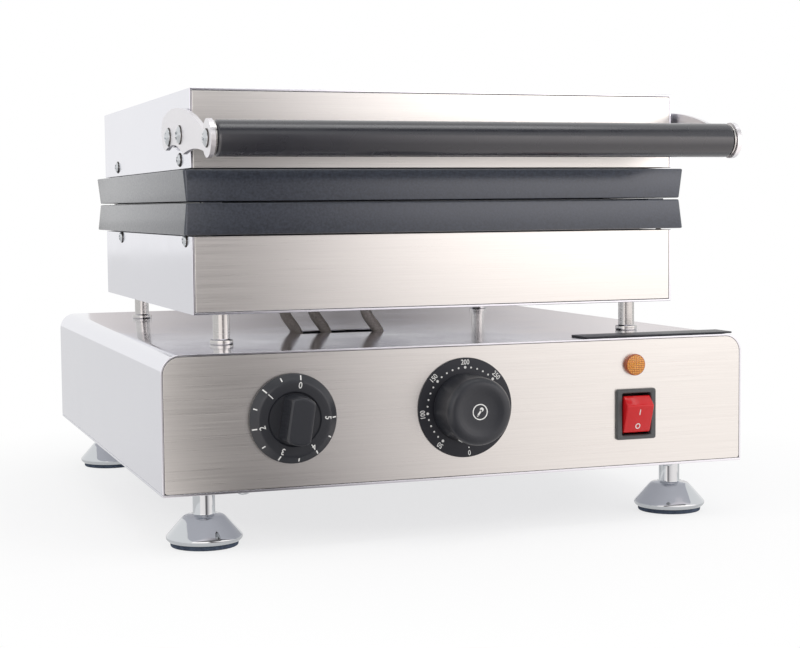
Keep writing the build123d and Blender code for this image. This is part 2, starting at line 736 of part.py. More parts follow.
# Handle
def bracket_outline():
    """Side view of a handle bracket round the grip's axis, with the lid to the right."""
    eye = BRACKET_EYE_RADIUS
    neck = (0, BRACKET_NECK)
    crest = (BRACKET_CREST_BACK, BRACKET_CREST)
    neck_rise = BRACKET_CREST - BRACKET_NECK
    tail = Vector(BRACKET_TAIL_BACK, BRACKET_TAIL_RISE)
    shoulder = tail + Vector(BRACKET_TAIL_RADIUS, 0).rotate(Axis.Z, 57)
    heel = tail + Vector(BRACKET_TAIL_RADIUS, 0).rotate(Axis.Z, -98)
    cusp = Vector(BRACKET_CUSP_BACK, -BRACKET_CUSP_DROP)
    chin = Vector(eye, 0).rotate(Axis.Z, -40)
    with BuildLine() as edge:
        ThreePointArc(neck, (BRACKET_CREST_BACK / 2, BRACKET_CREST - neck_rise / 4), crest)
        TangentArc(crest, shoulder, tangent=(1, 0))
        ThreePointArc(shoulder, tail + Vector(BRACKET_TAIL_RADIUS, 0), heel)
        ThreePointArc(heel, ((heel.X + cusp.X) / 2, -BRACKET_REAR_ARCH_DROP), cusp)
        ThreePointArc(cusp, ((cusp.X + chin.X) / 2, -BRACKET_FRONT_ARCH_DROP), chin)
        Polyline(chin, (0, 0), neck)
    return make_face(edge.line)


def handle_bracket(sx):
    """Steel bracket with an eye at the end of the grip and two seats that stand it off the lid."""
    face = Pos(grip_y, grip_z) * (bracket_outline() + Circle(BRACKET_EYE_RADIUS))
    inner = bracket_inner
    plate = across(face, inner, inner + BRACKET_SHEET)
    for back in BRACKET_SCREWS:
        seat = Rot(0, 90, 0) * Cylinder(BRACKET_SEAT_RADIUS, BRACKET_STAND_OFF, align=MIDDLE)
        plate += Pos(HOUSING_WIDTH / 2, grip_y + back, grip_z + BRACKET_SCREW_RISE) * seat
    return plate if sx > 0 else mirror(plate, Plane.YZ)


def handle_grip():
    """Black grip between the brackets."""
    bar = Cylinder(GRIP_RADIUS, 2 * (bracket_inner - END_GAP))
    bar = chamfer(bar.edges().filter_by(GeomType.CIRCLE), GRIP_EDGE)
    return Pos(0, grip_y, grip_z) * Rot(0, 90, 0) * bar


def main():
    os.makedirs("parts", exist_ok=True)
    lower_heater_top = lower_plate_bottom - SPIGOT_HEIGHT
    upper_heater_low = upper_plate_top + SPIGOT_HEIGHT
    upper_wool = lid_top - HOUSING_SHEET - WOOL_THICKNESS

    save("base_cover", base_cover())
    save("front_panel", front_panel())
    save("rear_panel", rear_panel())
    save("bottom_plate", bottom_plate())
    save("edge_plate", edge_plate())
    save("feet", *[Pos(x, y, 0) * foot() for x, y in foot_places()])
    pad = Cylinder(PAD_RADIUS, PAD_HEIGHT, align=MIDDLE)
    save("foot_pads", *[Pos(x, y, 0) * pad for x, y in foot_places()])
    save("posts", *[Pos(x, y, 0) * post() for x, y in post_places()])
    save("cable_gland", cable_gland())
    save("terminal_block", terminal_block())
    save("heater_leads", *[lead(place) for place in LEAD_PLACES])

    save("timer_body", timer_body())
    save("timer_knob", timer_knob())
    save("timer_shaft", on_panel(shaft(PANEL_SHEET + SHAFT_IN_BODY), timer_x, TIMER_Z))
    save("thermostat_body", thermostat_body())
    save("thermostat_scale", thermostat_scale())
    save("thermostat_knob", thermostat_knob())
    spindle = Pos(0, 0, SCALE_SHEET) * shaft(SCALE_SHEET + PANEL_SHEET + SHAFT_IN_BODY)
    save("thermostat_shaft", on_panel(spindle, thermostat_x, THERMOSTAT_Z))
    save("lamp_body", lamp_body())
    save("lamp_lens", lamp_lens())
    save("switch_body", switch_body())
    save("rocker", rocker())

    save("lower_housing", lower_housing())
    save("lower_front", housing_end(LOWER_HOUSING_HEIGHT, lower_bottom, True))
    save("lower_rear", housing_end(LOWER_HOUSING_HEIGHT, lower_bottom, False))
    save("lower_plate", lower_plate())
    save("contact_pads", *contact_pads())
    save("lower_heater", heater(lower_heater_top - HEATER_HEIGHT))
    save("lower_clamps", *clamp_bars(lower_heater_top - HEATER_HEIGHT - CLAMP_HEIGHT))
    save("lower_wool", lower_wool())

    save("lid_cover", lid_version(housing_channel(LID_HEIGHT, lower_bottom)))
    save("lid_front", lid_version(housing_end(LID_HEIGHT, lower_bottom, True)))
    save("lid_rear", lid_version(housing_end(LID_HEIGHT, lower_bottom, False)))
    save("upper_plate", upper_plate())
    save("upper_heater", heater(upper_heater_low))
    save("upper_clamps", *clamp_bars(upper_heater_low + HEATER_HEIGHT))
    save("upper_wool", wool(upper_wool))

    for side, sx in (("left", -1), ("right", 1)):
        save(f"hinge_lug_{side}", hinge_lug(sx))
        save(f"hinge_arm_{side}", hinge_arm(sx))
        save(f"handle_bracket_{side}", handle_bracket(sx))
    save("hinge_pins", hinge_pin(-1), hinge_pin(1))
    save("handle_grip", handle_grip())


if __name__ == "__main__":
    main()
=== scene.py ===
"""Looks of a countertop ball maker: brushed steel box, two cast plates, a hinged lid and its controls.

Frame: metres, Z up, +X to the user's right, +Y away from the user, the table top at z = 0.
Sizes of the machine's pieces are written in millimetres here, and sizes of the stage in metres.
"""

import json
import math

import bmesh
import bpy
import numpy as np
from bpy.props import FloatProperty, FloatVectorProperty, PointerProperty
from mathutils import Matrix, Vector


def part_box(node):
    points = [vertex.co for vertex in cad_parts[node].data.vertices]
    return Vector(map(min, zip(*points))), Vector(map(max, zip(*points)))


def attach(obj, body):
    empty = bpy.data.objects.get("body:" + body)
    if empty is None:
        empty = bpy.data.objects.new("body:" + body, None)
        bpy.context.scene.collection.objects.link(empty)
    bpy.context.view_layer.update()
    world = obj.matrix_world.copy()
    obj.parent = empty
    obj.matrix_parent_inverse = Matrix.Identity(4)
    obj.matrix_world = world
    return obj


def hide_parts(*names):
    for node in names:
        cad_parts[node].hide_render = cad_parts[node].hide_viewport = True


bl_info = {
    "name": "Ball maker looks",
    "version": (1, 0, 0),
    "blender": (4, 5, 0),
    "location": "View3D > Sidebar > Ball maker",
    "description": "Dresses the packed parts of a countertop ball maker with detailed pieces and finishes",
    "category": "Object",
}

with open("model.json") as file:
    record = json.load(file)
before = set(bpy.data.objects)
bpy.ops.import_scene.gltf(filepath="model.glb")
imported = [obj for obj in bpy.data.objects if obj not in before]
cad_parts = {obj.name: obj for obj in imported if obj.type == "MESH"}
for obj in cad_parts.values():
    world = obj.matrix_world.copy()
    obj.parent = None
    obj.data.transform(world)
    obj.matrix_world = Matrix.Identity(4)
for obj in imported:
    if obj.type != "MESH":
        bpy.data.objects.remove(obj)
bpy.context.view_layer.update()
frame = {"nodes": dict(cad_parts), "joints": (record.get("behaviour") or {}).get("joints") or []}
MM = 0.001
FULL_TURN = 2 * math.pi
RIGHT = (1.0, 0.0, 0.0)
BACK = (0.0, 1.0, 0.0)
TO_USER = (0.0, -1.0, 0.0)
UP = (0.0, 0.0, 1.0)
# A bend between faces that is sharper than this stays a hard edge.
SHARP_DEGREES = 35.0
# Faces of a packed sheet that meet at less than this are shaded as one bend.
BEND_DEGREES = 40.0
TUBE_SIDES = 20


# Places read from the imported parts

def box_mm(node):
    """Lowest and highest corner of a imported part, in millimetres."""
    low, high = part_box(node)
    return np.array(low) / MM, np.array(high) / MM


PANEL_Y = box_mm("front_panel")[0][1]
JOINTS = {joint["name"]: joint for joint in frame["joints"]}


def joint_mm(name):
    """A point on a joint's axis, in millimetres."""
    return np.array(JOINTS[name]["pos_m"]) / MM


# Local frames: pieces are worked out round their own origin and then carried to their place

def axes_at(origin, right, up):
    """A 4 by 3 array: a local frame's origin and its three unit directions in the machine's frame."""
    right, up = np.array(right, float), np.array(up, float)
    return np.array([origin, right, up, np.cross(right, up)], float)


def placed(points, axes):
    """Local points carried into the machine's frame: origin + x right + y up + z outwards."""
    return axes[0] + np.asarray(points) @ axes[1:]


def on_panel(x, z):
    """Local frame of a control: x right, y up, z towards the user."""
    return axes_at((x, PANEL_Y, z), RIGHT, UP)


def standing(x, y, z=0.0):
    """Local frame of a piece that stands upright: x right, y back, z up."""
    return axes_at((x, y, z), RIGHT, BACK)


# Surfaces worked out as whole arrays

class Shell:
    """Points and faces of one piece, surface by surface. A finish is an index in the piece's list."""

    def __init__(self):
        self.points, self.faces, self.finishes, self.count = [], [], [], 0

    def add(self, points, faces, finish=0):
        """Adds points in the machine's frame and the faces between them."""
        points = np.asarray(points, float).reshape(-1, 3)
        self.points.append(points)
        self.faces += [[int(i) + self.count for i in face] for face in faces]
        self.finishes += [finish] * len(faces)
        self.count += len(points)

    def add_rings(self, rings, axes, finish=0, caps=False):
        """Adds quads from ring to ring of local points; caps close the first and the last ring."""
        rows, columns = rings.shape[:2]
        index = np.arange(rows * columns).reshape(rows, columns)
        round_trip = np.concatenate([index, index[:, :1]], axis=1)
        quads = np.stack([round_trip[:-1, :-1], round_trip[:-1, 1:], round_trip[1:, 1:], round_trip[1:, :-1]],
                         axis=-1)
        faces = quads.reshape(-1, 4).tolist()
        if caps:
            faces += [index[0, ::-1].tolist(), index[-1].tolist()]
        self.add(placed(rings, axes), faces, finish)


def round_angles(count):
    """Evenly spread angles of one full turn."""
    return np.linspace(0, FULL_TURN, count, endpoint=False)


def arc(centre, radius, start, end, steps):
    """Points of a circle's arc: centre + radius (cos a, sin a), a from start to end in degrees."""
    a = np.radians(np.linspace(start, end, steps))
    return np.stack([centre[0] + radius * np.cos(a), centre[1] + radius * np.sin(a)], axis=-1)


def eased(corners, radii, steps=5):
    """An open outline with each inner corner rounded: a quadratic curve between the two tangent points."""
    corners = np.asarray(corners, float)
    t = np.linspace(0, 1, steps)[:, None]
    parts = [corners[:1]]
    for before, corner, after, radius in zip(corners[:-2], corners[1:-1], corners[2:], radii):
        to_before, to_after = before - corner, after - corner
        reach_before = corner + to_before * min(0.5, radius / np.linalg.norm(to_before))
        reach_after = corner + to_after * min(0.5, radius / np.linalg.norm(to_after))
        parts.append((1 - t) ** 2 * reach_before + 2 * t * (1 - t) * corner + t ** 2 * reach_after)
    return np.concatenate(parts + [corners[-1:]])


def raised_rings(flat, heights):
    """Rings of flat points (x, y), each ring carried to its own height."""
    heights = np.asarray(heights, float)[:, None, None]
    return np.concatenate([flat, np.broadcast_to(heights, flat.shape[:2] + (1,))], axis=-1)


def turned(profile, segments=72):
    """Surface of revolution about local z: radius and height along the profile, angle round the axis."""
    a = round_angles(segments)
    profile = np.asarray(profile, float)
    ring = np.stack([np.cos(a), np.sin(a)], axis=-1)
    return raised_rings(profile[:, None, :1] * ring[None], profile[:, 1])


def outline_normals(outline):
    """Outward unit normals of a closed anticlockwise outline: square to the chord between both neighbours."""
    along = np.roll(outline, -1, axis=0) - np.roll(outline, 1, axis=0)
    normals = np.stack([along[:, 1], -along[:, 0]], axis=-1)
    return normals / np.linalg.norm(normals, axis=1, keepdims=True)


def stacked(outline, profile):
    """A closed outline carried up a profile: point + normal times offset, at the profile's height."""
    outline = np.asarray(outline, float)
    profile = np.asarray(profile, float)
    return raised_rings(outline[None] + outline_normals(outline)[None] * profile[:, None, :1], profile[:, 1])


def slab_profile(low, high, edge):
    """Profile of a flat piece with both edges rounded by edge: offset from the outline, and height."""
    bottom = arc((-edge, low + edge), edge, -90, 0, 4)
    top = arc((-edge, high - edge), edge, 0, 90, 4)
    return np.concatenate([bottom, top])


def rounded_rectangle(width, height, radius, steps=7):
    """Closed outline of a rectangle with quarter-circle corners, anticlockwise."""
    across, up = width / 2 - radius, height / 2 - radius
    return np.concatenate([
        arc((across, -up), radius, -90, 0, steps),
        arc((across, up), radius, 0, 90, steps),
        arc((-across, up), radius, 90, 180, steps),
        arc((-across, -up), radius, 180, 270, steps),
    ])


def rectangle_rings(rows):
    """A rounded rectangle for each (width, height, corner radius, level), at its level."""
    flat = np.stack([rounded_rectangle(width, height, radius) for width, height, radius, _ in rows])
    return raised_rings(flat, [row[3] for row in rows])


def tube(path, radius):
    """Round tube: a circle carried square to the path, between a side direction and their cross product."""
    path = np.asarray(path, float)
    along = np.gradient(path, axis=0)
    along /= np.linalg.norm(along, axis=1, keepdims=True)
    side = np.cross(along, BACK)
    side /= np.linalg.norm(side, axis=1, keepdims=True)
    other = np.cross(along, side)
    a = round_angles(TUBE_SIDES)
    ring = side[:, None] * np.cos(a)[None, :, None] + other[:, None] * np.sin(a)[None, :, None]
    return path[:, None] + radius * ring


def smooth_path(points, steps=8):
    """Catmull-Rom curve through points: each span blends its four neighbours by cubic weights."""
    points = np.asarray(points, float)
    padded = np.concatenate([2 * points[:1] - points[1:2], points, 2 * points[-1:] - points[-2:-1]])
    t = np.linspace(0, 1, steps, endpoint=False)[None, :, None]
    a, b, c, d = (padded[i:len(padded) - 3 + i][:, None] for i in range(4))
    bent = (2 * a - 5 * b + 4 * c - d) * t ** 2
    twisted = (3 * b - a - 3 * c + d) * t ** 3
    spans = 0.5 * (2 * b + (c - a) * t + bent + twisted)
    return np.concatenate([spans.reshape(-1, points.shape[1]), points[-1:]])


# From a shell to a piece of the machine

def linked(name, data):
    """A new object in the scene."""
    obj = bpy.data.objects.new(name, data)
    bpy.context.scene.collection.objects.link(obj)
    return obj


def finished(obj, finishes, body, nodes=()):
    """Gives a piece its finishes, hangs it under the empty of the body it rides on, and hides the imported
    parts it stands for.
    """
    for finish in finishes:
        obj.data.materials.append(stock()[finish])
    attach(obj, body)
    if nodes:
        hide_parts(*nodes)


def cleaned(mesh, ordered):
    """Merges doubled points, turns faces outwards unless they are in order, and keeps hard edges sharp."""
    work = bmesh.new()
    work.from_mesh(mesh)
    bmesh.ops.remove_doubles(work, verts=work.verts, dist=1e-6)
    bmesh.ops.dissolve_degenerate(work, dist=1e-7, edges=work.edges)
    if not ordered:
        bmesh.ops.recalc_face_normals(work, faces=work.faces)
    work.to_mesh(mesh)
    work.free()
    mesh.polygons.foreach_set("use_smooth", np.ones(len(mesh.polygons), bool))
    mesh.set_sharp_from_angle(angle=math.radians(SHARP_DEGREES))
    mesh.update()


def piece(name, shell, finishes, body, nodes=(), ordered=False):
    """Makes one object of a shell's surfaces; ordered says that every face already looks outwards."""
    mesh = bpy.data.meshes.new(name)
    mesh.from_pydata((np.concatenate(shell.points) * MM).tolist(), [], shell.faces)
    mesh.polygons.foreach_set("material_index", np.array(shell.finishes, np.int32))
    cleaned(mesh, ordered)
    finished(linked(name, mesh), finishes, body, nodes)


def corner_normals(mesh):
    """Normal at every face corner: the sum of area squared times normal over the faces that meet there.

    Only faces turned from its own face by less than a bend count, so wide flats stay flat beside their bends.
    """
    at = np.empty(len(mesh.loops), np.int32)
    mesh.loops.foreach_get("vertex_index", at)
    count = len(mesh.polygons)
    sizes, areas, normals = np.empty(count, np.int32), np.empty(count), np.empty(count * 3)
    mesh.polygons.foreach_get("loop_total", sizes)
    mesh.polygons.foreach_get("area", areas)
    mesh.polygons.foreach_get("normal", normals)
    each = np.repeat(normals.reshape(-1, 3), sizes, axis=0)
    weight = np.repeat(areas ** 2, sizes)
    joined = (at[:, None] == at[None]) & (each @ each.T > math.cos(math.radians(BEND_DEGREES)))
    mixed = (joined * weight) @ each
    return mixed / np.linalg.norm(mixed, axis=1, keepdims=True)


def sheet_copy(node, finish, body, edge=0.35):
    """A packed sheet piece as whole flat faces, with its bends shaded round and its edges rounded by edge."""
    work = bmesh.new()
    work.from_mesh(frame["nodes"][node].data)
    bmesh.ops.remove_doubles(work, verts=work.verts, dist=2e-6)
    bmesh.ops.dissolve_limit(work, angle_limit=math.radians(0.5), verts=work.verts, edges=work.edges)
    mesh = bpy.data.meshes.new(node + "_sheet")
    work.to_mesh(mesh)
    work.free()
    mesh.polygons.foreach_set("use_smooth", np.ones(len(mesh.polygons), bool))
    mesh.normals_split_custom_set(corner_normals(mesh).tolist())
    obj = linked(node + "_sheet", mesh)
    bevel = obj.modifiers.new("Rounded edges", "BEVEL")
    bevel.width = edge * MM
    bevel.segments = 2
    bevel.limit_method = "ANGLE"
    bevel.angle_limit = math.radians(BEND_DEGREES)
    bevel.harden_normals = True
    finished(obj, [finish], body, (node,))


# Print: raised a little over the surface, whose height is lift(distance from the axis)

PRINT_THICKNESS = 0.12
# Of a capital letter: its height as a share of the font's size, and how much narrower the real print is.
CAPITAL_HEIGHT = 0.7
CAPITAL_SQUEEZE = 0.85


def lettering(text, height, angle, radius, axes, lift):
    """Points and faces of a text at a radius and an angle clockwise from the top, its feet to the axis."""
    curve = bpy.data.curves.new("print", "FONT")
    curve.body = text
    curve.align_x, curve.align_y = "CENTER", "CENTER"
    curve.resolution_u = 3
    curve.extrude = 0.5
    curve.offset = 0.012
    holder = linked("print", curve)
    mesh = bpy.data.meshes.new_from_object(holder)
    points = np.empty(len(mesh.vertices) * 3, np.float32)
    mesh.vertices.foreach_get("co", points)
    points = points.reshape(-1, 3).astype(float)
    faces = [list(face.vertices) for face in mesh.polygons]
    bpy.data.objects.remove(holder)
    bpy.data.curves.remove(curve)
    bpy.data.meshes.remove(mesh)
    middle = (points[:, :2].max(0) + points[:, :2].min(0)) / 2
    flat = (points[:, :2] - middle) * height / CAPITAL_HEIGHT * (CAPITAL_SQUEEZE, 1.0) + (0.0, radius)
    a = math.radians(-angle)
    spun = flat @ np.array([[math.cos(a), math.sin(a)], [-math.sin(a), math.cos(a)]])
    rise = lift(np.hypot(spun[:, 0], spun[:, 1])) + points[:, 2] * PRINT_THICKNESS
    return placed(np.column_stack([spun, rise]), axes), faces


def tick(angle, inner, outer, width, lift):
    """A radial line between two radii at an angle clockwise from the top, following the surface under it."""
    across, along, top = np.meshgrid((-0.5, 0.5), np.linspace(inner, outer, 5), (-0.5, 0.5), indexing="ij")
    a = math.radians(angle)
    x = across * width * math.cos(a) + along * math.sin(a)
    y = -across * width * math.sin(a) + along * math.cos(a)
    points = np.stack([x, y, lift(along) + top * PRINT_THICKNESS], axis=-1)
    return np.stack([points[0, :, 0], points[1, :, 0], points[1, :, 1], points[0, :, 1]], axis=1)


def dot(angle, distance, size, lift):
    """A small round print mark at a distance from the axis."""
    a = math.radians(angle)
    mark = turned([(0, -0.5), (size, -0.5), (size, 0.5), (0, 0.5)], 16)
    return mark * (1, 1, PRINT_THICKNESS) + (distance * math.sin(a), distance * math.cos(a), lift(distance))


def level(height):
    """The lift of a flat surface: the same height at every distance."""
    return lambda distance: height + 0.0 * np.asarray(distance)


# Finishes: each is named for the real material and process, with its look in a comment

def linear(colour):
    """Linear red, green, blue and opacity from an sRGB hex colour such as "#c0bdb8"."""
    channels = [int(colour[i:i + 2], 16) / 255 for i in (1, 3, 5)]
    return tuple(c / 12.92 if c <= 0.04045 else ((c + 0.055) / 1.055) ** 2.4 for c in channels) + (1.0,)


def shaded(colour, factor):
    """A colour made darker or lighter by a factor."""
    return tuple(min(1.0, c * factor) for c in colour[:3]) + (1.0,)


def add_node(tree, kind, settings=None, values=None, links=None):
    """Adds one node: settings are its own options, values its sockets' constants, links other outputs."""
    node = tree.nodes.new(kind)
    for name, value in (settings or {}).items():
        setattr(node, name, value)
    for socket, value in (values or {}).items():
        node.inputs[socket].default_value = value
    for socket, output in (links or {}).items():
        tree.links.new(output, node.inputs[socket])
    return node


def new_material(name):
    """A material and its nodes."""
    material = bpy.data.materials.new(name)
    material.use_nodes = True
    return material, material.node_tree


def surface(name, colour, roughness, metallic=0.0, **sockets):
    """A finish with one shader: its constants stand on the shader's own sockets."""
    material, tree = new_material(name)
    shader = tree.nodes["Principled BSDF"]
    shader.inputs["Base Color"].default_value = colour
    shader.inputs["Roughness"].default_value = roughness
    shader.inputs["Metallic"].default_value = metallic
    for socket, value in sockets.items():
        shader.inputs[socket.replace("_", " ")].default_value = value
    return material, tree, shader


def grain(tree, pitch, detail=2.0, distortion=0.0):
    """Noise whose features measure pitch = (x, y, z) in millimetres on the piece."""
    place = add_node(tree, "ShaderNodeTexCoord")
    scaled = add_node(tree, "ShaderNodeMapping", {"vector_type": "POINT"},
                      {"Scale": tuple(1 / (p * MM) for p in pitch)}, {"Vector": place.outputs["Object"]})
    noise = add_node(tree, "ShaderNodeTexNoise", None,
                     {"Scale": 1.0, "Detail": detail, "Distortion": distortion},
                     {"Vector": scaled.outputs["Vector"]})
    return noise.outputs["Fac"]


# Noise keeps to the middle of 0 to 1, so a finish is spread over this part of it.
NOISE_REACH = (0.3, 0.7)


def wear_pattern(tree, shader, pattern, shades=None, gloss=None, relief=None, strength=1.0,
                 reach=NOISE_REACH):
    """Lets a pattern change a finish as its value goes over reach.

    shades = colours and gloss = roughness, both given at its low and its high end. relief is in millimetres.
    """
    spread = {"From Min": reach[0], "From Max": reach[1]}
    if shades:
        share = add_node(tree, "ShaderNodeMapRange", None, spread, {"Value": pattern})
        mixed = add_node(tree, "ShaderNodeMix", {"data_type": "RGBA"}, {6: shades[0], 7: shades[1]},
                         {"Factor": share.outputs["Result"]})
        tree.links.new(mixed.outputs[2], shader.inputs["Base Color"])
    if gloss:
        rough = add_node(tree, "ShaderNodeMapRange", None, {**spread, "To Min": gloss[0], "To Max": gloss[1]},
                         {"Value": pattern})
        tree.links.new(rough.outputs["Result"], shader.inputs["Roughness"])
    if relief:
        bump = add_node(tree, "ShaderNodeBump", None, {"Strength": strength, "Distance": relief * MM},
                        {"Height": pattern})
        tree.links.new(bump.outputs["Normal"], shader.inputs["Normal"])


# Streaks run left to right on the panels that face the user: soft grey, with fine bright and dark lines.
# Real streaks are finer than a pixel, so they are drawn 0.36 mm high.
def panel_steel(colour):
    roughness, pitch = 0.3, (55.0, 0.5, 0.36)
    material, tree, shader = surface("Brushed stainless, lines across", colour, roughness, 1.0)
    streaks = grain(tree, pitch, 4.0)
    wide = grain(tree, tuple(p * 4 for p in pitch), 1.0)
    both = add_node(tree, "ShaderNodeMix", {"data_type": "FLOAT"}, {"Factor": 0.2}, {"A": streaks, "B": wide})
    wear_pattern(tree, shader, both.outputs["Result"], (shaded(colour, 0.965), shaded(colour, 1.03)),
                 reach=(0.37, 0.63))
    wear_pattern(tree, shader, streaks, gloss=(roughness - 0.03, roughness + 0.04), relief=0.0015)
    return material


# Plain bright-rolled sheet on the sides and tops: nearly a mirror, with a faint cloudiness.
def side_steel(colour):
    material, tree, shader = surface("Bright-rolled stainless", colour, 0.12, 1.0)
    wear_pattern(tree, shader, grain(tree, (35.0, 35.0, 35.0), 3.0), gloss=(0.09, 0.16))
    wear_pattern(tree, shader, grain(tree, (60.0, 60.0, 60.0), 1.0), relief=0.05, strength=0.5)
    return material


# Handle brackets and hinge leaves: pressed plate with a silky white sheen that blurs what it reflects.
def bracket_satin():
    material, tree, shader = surface("Tumbled stainless plate", linear("#e9e7ea"), 0.36, 1.0)
    wear_pattern(tree, shader, grain(tree, (1.5, 1.5, 1.5), 3.0), gloss=(0.3, 0.42), relief=0.01)
    return material


# Polished chrome: clean dark and white reflections, hardly any haze.
def chrome_plate():
    material, tree, shader = surface("Polished chrome plate", linear("#cdd0d3"), 0.05, 1.0)
    wear_pattern(tree, shader, grain(tree, (12.0, 12.0, 12.0)), gloss=(0.03, 0.09))
    return material


# Nickel plate: a little warmer and hazier than chrome, with faint turning marks.
def nickel_plate():
    material, tree, shader = surface("Nickel plate on turned steel", linear("#cbc9c7"), 0.22, 1.0)
    wear_pattern(tree, shader, grain(tree, (20.0, 20.0, 0.35)), gloss=(0.15, 0.3), relief=0.006)
    return material


# Dark coat over cast metal: satin, with a fine pebble that breaks up highlights and a few lighter specks.
def cast_coat():
    material, tree, shader = surface(
        "PTFE coat on cast aluminium", linear("#20222a"), 0.36, Specular_IOR_Level=0.75,
        Specular_Tint=linear("#e7f0ff"), Coat_Weight=0.7, Coat_Roughness=0.2)
    wear_pattern(tree, shader, grain(tree, (1.3, 1.3, 1.3), 3.0), (linear("#10141d"), linear("#272c38")),
                 (0.3, 0.42), 0.09)
    return material


# Pressed phenolic: near black, satin, with one soft highlight and a very slight orange peel.
def grip_phenolic(colour):
    material, tree, shader = surface("Pressed black phenolic", colour, 0.27, Specular_IOR_Level=0.7,
                                     Coat_Weight=0.4, Coat_Roughness=0.18)
    wear_pattern(tree, shader, grain(tree, (5.0, 5.0, 5.0)), relief=0.02)
    wear_pattern(tree, shader, grain(tree, (18.0, 18.0, 18.0)), gloss=(0.22, 0.33))
    return material


# Moulded knobs: black with a dull sheen and a fine spark-eroded texture.
def moulded_black(colour):
    material, tree, shader = surface("Moulded black ABS", colour, 0.36)
    wear_pattern(tree, shader, grain(tree, (0.45, 0.45, 0.45)), gloss=(0.31, 0.43), relief=0.012)
    return material


# Switch frame: dark grey, smooth and slightly glossy.
def switch_frame():
    material, tree, shader = surface("Moulded grey nylon", linear("#4a4c4e"), 0.3)
    wear_pattern(tree, shader, grain(tree, (0.6, 0.6, 0.6)), gloss=(0.26, 0.36))
    return material


# Rocker: clear bright red, glossy, a little light goes into it.
def red_polycarbonate(colour):
    material, tree, shader = surface(
        "Glossy red polycarbonate", colour, 0.2, Specular_IOR_Level=0.35, Coat_Weight=0.1,
        Coat_Roughness=0.06, Subsurface_Weight=0.1, Subsurface_Scale=0.002)
    wear_pattern(tree, shader, grain(tree, (9.0, 9.0, 9.0)), gloss=(0.12, 0.2))
    return material


# Lamp: amber with a grid of small bright lens cells between deeper orange lines, 1.15 mm apart.
def amber_acrylic(colour):
    pitch = 1.15
    material, tree, shader = surface("Amber prismatic acrylic", colour, 0.14, Coat_Weight=0.6,
                                     Coat_Roughness=0.05, Subsurface_Weight=0.15, Subsurface_Scale=0.002)
    place = add_node(tree, "ShaderNodeTexCoord")
    facing = add_node(tree, "ShaderNodeMapping", {"vector_type": "POINT"},
                      {"Scale": (1 / (pitch * MM), 0.0, 1 / (pitch * MM))},
                      {"Vector": place.outputs["Object"]})
    cells = add_node(tree, "ShaderNodeTexVoronoi", {"distance": "CHEBYCHEV", "voronoi_dimensions": "3D"},
                     {"Scale": 1.0, "Randomness": 0.0}, {"Vector": facing.outputs["Vector"]})
    inner = add_node(tree, "ShaderNodeMapRange", None,
                     {"From Min": 0.25, "From Max": 0.45, "To Min": 1.0, "To Max": 0.0},
                     {"Value": cells.outputs["Distance"]})
    wear_pattern(tree, shader, inner.outputs["Result"], (shaded(colour, 0.5), shaded(colour, 1.6)),
                 relief=0.25, reach=(0.0, 1.0))
    return material


# Lamp rim: the same plastic seen edge on, deep orange-brown.
def amber_rim():
    material, tree, shader = surface("Amber acrylic edge", linear("#9c4714"), 0.2, Coat_Weight=0.4)
    wear_pattern(tree, shader, grain(tree, (4.0, 4.0, 4.0)), gloss=(0.15, 0.28))
    return material


# Scale disc and edge plate: black and even, with a soft metal sheen.
def anodised_black():
    material, tree, shader = surface("Black-anodised aluminium", linear("#23252c"), 0.38, 0.3)
    wear_pattern(tree, shader, grain(tree, (30.0, 0.5, 0.5)), gloss=(0.32, 0.45))
    return material


# Print: flat white with slightly uneven cover.
def white_ink():
    material, tree, shader = surface("White pad-printed ink", linear("#ecebe8"), 0.5)
    wear_pattern(tree, shader, grain(tree, (0.5, 0.5, 0.5)), (linear("#deddda"), linear("#f4f3f0")))
    return material


# Foot pads: dull blue-grey with a dusty bloom.
def pad_rubber():
    material, tree, shader = surface("Moulded nitrile rubber", linear("#404b5d"), 0.7, Specular_IOR_Level=0.3)
    wear_pattern(tree, shader, grain(tree, (3.0, 3.0, 3.0), 4.0), (linear("#343e4f"), linear("#4d596c")))
    wear_pattern(tree, shader, grain(tree, (0.5, 0.5, 0.5)), relief=0.03)
    return material


# Sleeves of the leads: warm pale grey with a fine woven rib.
def glass_sleeve():
    material, tree, shader = surface("Varnished glass-fibre sleeve", linear("#cdc3bb"), 0.5, Sheen_Weight=0.2)
    wear_pattern(tree, shader, grain(tree, (1.0, 1.0, 0.5), 1.0), (linear("#b3a89f"), linear("#e6ddd5")),
                 relief=0.15)
    return material


# Terminal block: matt cream with small darker specks.
def steatite():
    material, tree, shader = surface("Unglazed steatite", linear("#ddd6c6"), 0.65)
    specks = add_node(tree, "ShaderNodeMapRange", None, {"From Min": 0.25, "From Max": 0.45},
                      {"Value": grain(tree, (0.9, 0.9, 0.9), 4.0)})
    wear_pattern(tree, shader, specks.outputs["Result"], (linear("#a99e89"), linear("#ddd6c6")),
                 relief=0.02, reach=(0.0, 1.0))
    return material


# Blanket: pale yellow-grey tangle of fibres, no shine.
def mineral_wool():
    material, tree, shader = surface("Loose mineral wool", linear("#b8b092"), 0.95, Sheen_Weight=0.4)
    wear_pattern(tree, shader, grain(tree, (4.0, 1.2, 1.2), 6.0, 1.5), (linear("#8f8768"), linear("#d5cfb6")),
                 relief=1.2)
    return material


# Heating element: sheath with straw, brown and blue heat tints.
def heated_sheath():
    material, tree, shader = surface("Heat-tinted steel sheath", linear("#6d5f55"), 0.42, 1.0)
    wear_pattern(tree, shader, grain(tree, (45.0, 45.0, 45.0)), (linear("#4a4652"), linear("#8b7356")))
    wear_pattern(tree, shader, grain(tree, (0.8, 0.8, 0.8)), relief=0.02)
    return material


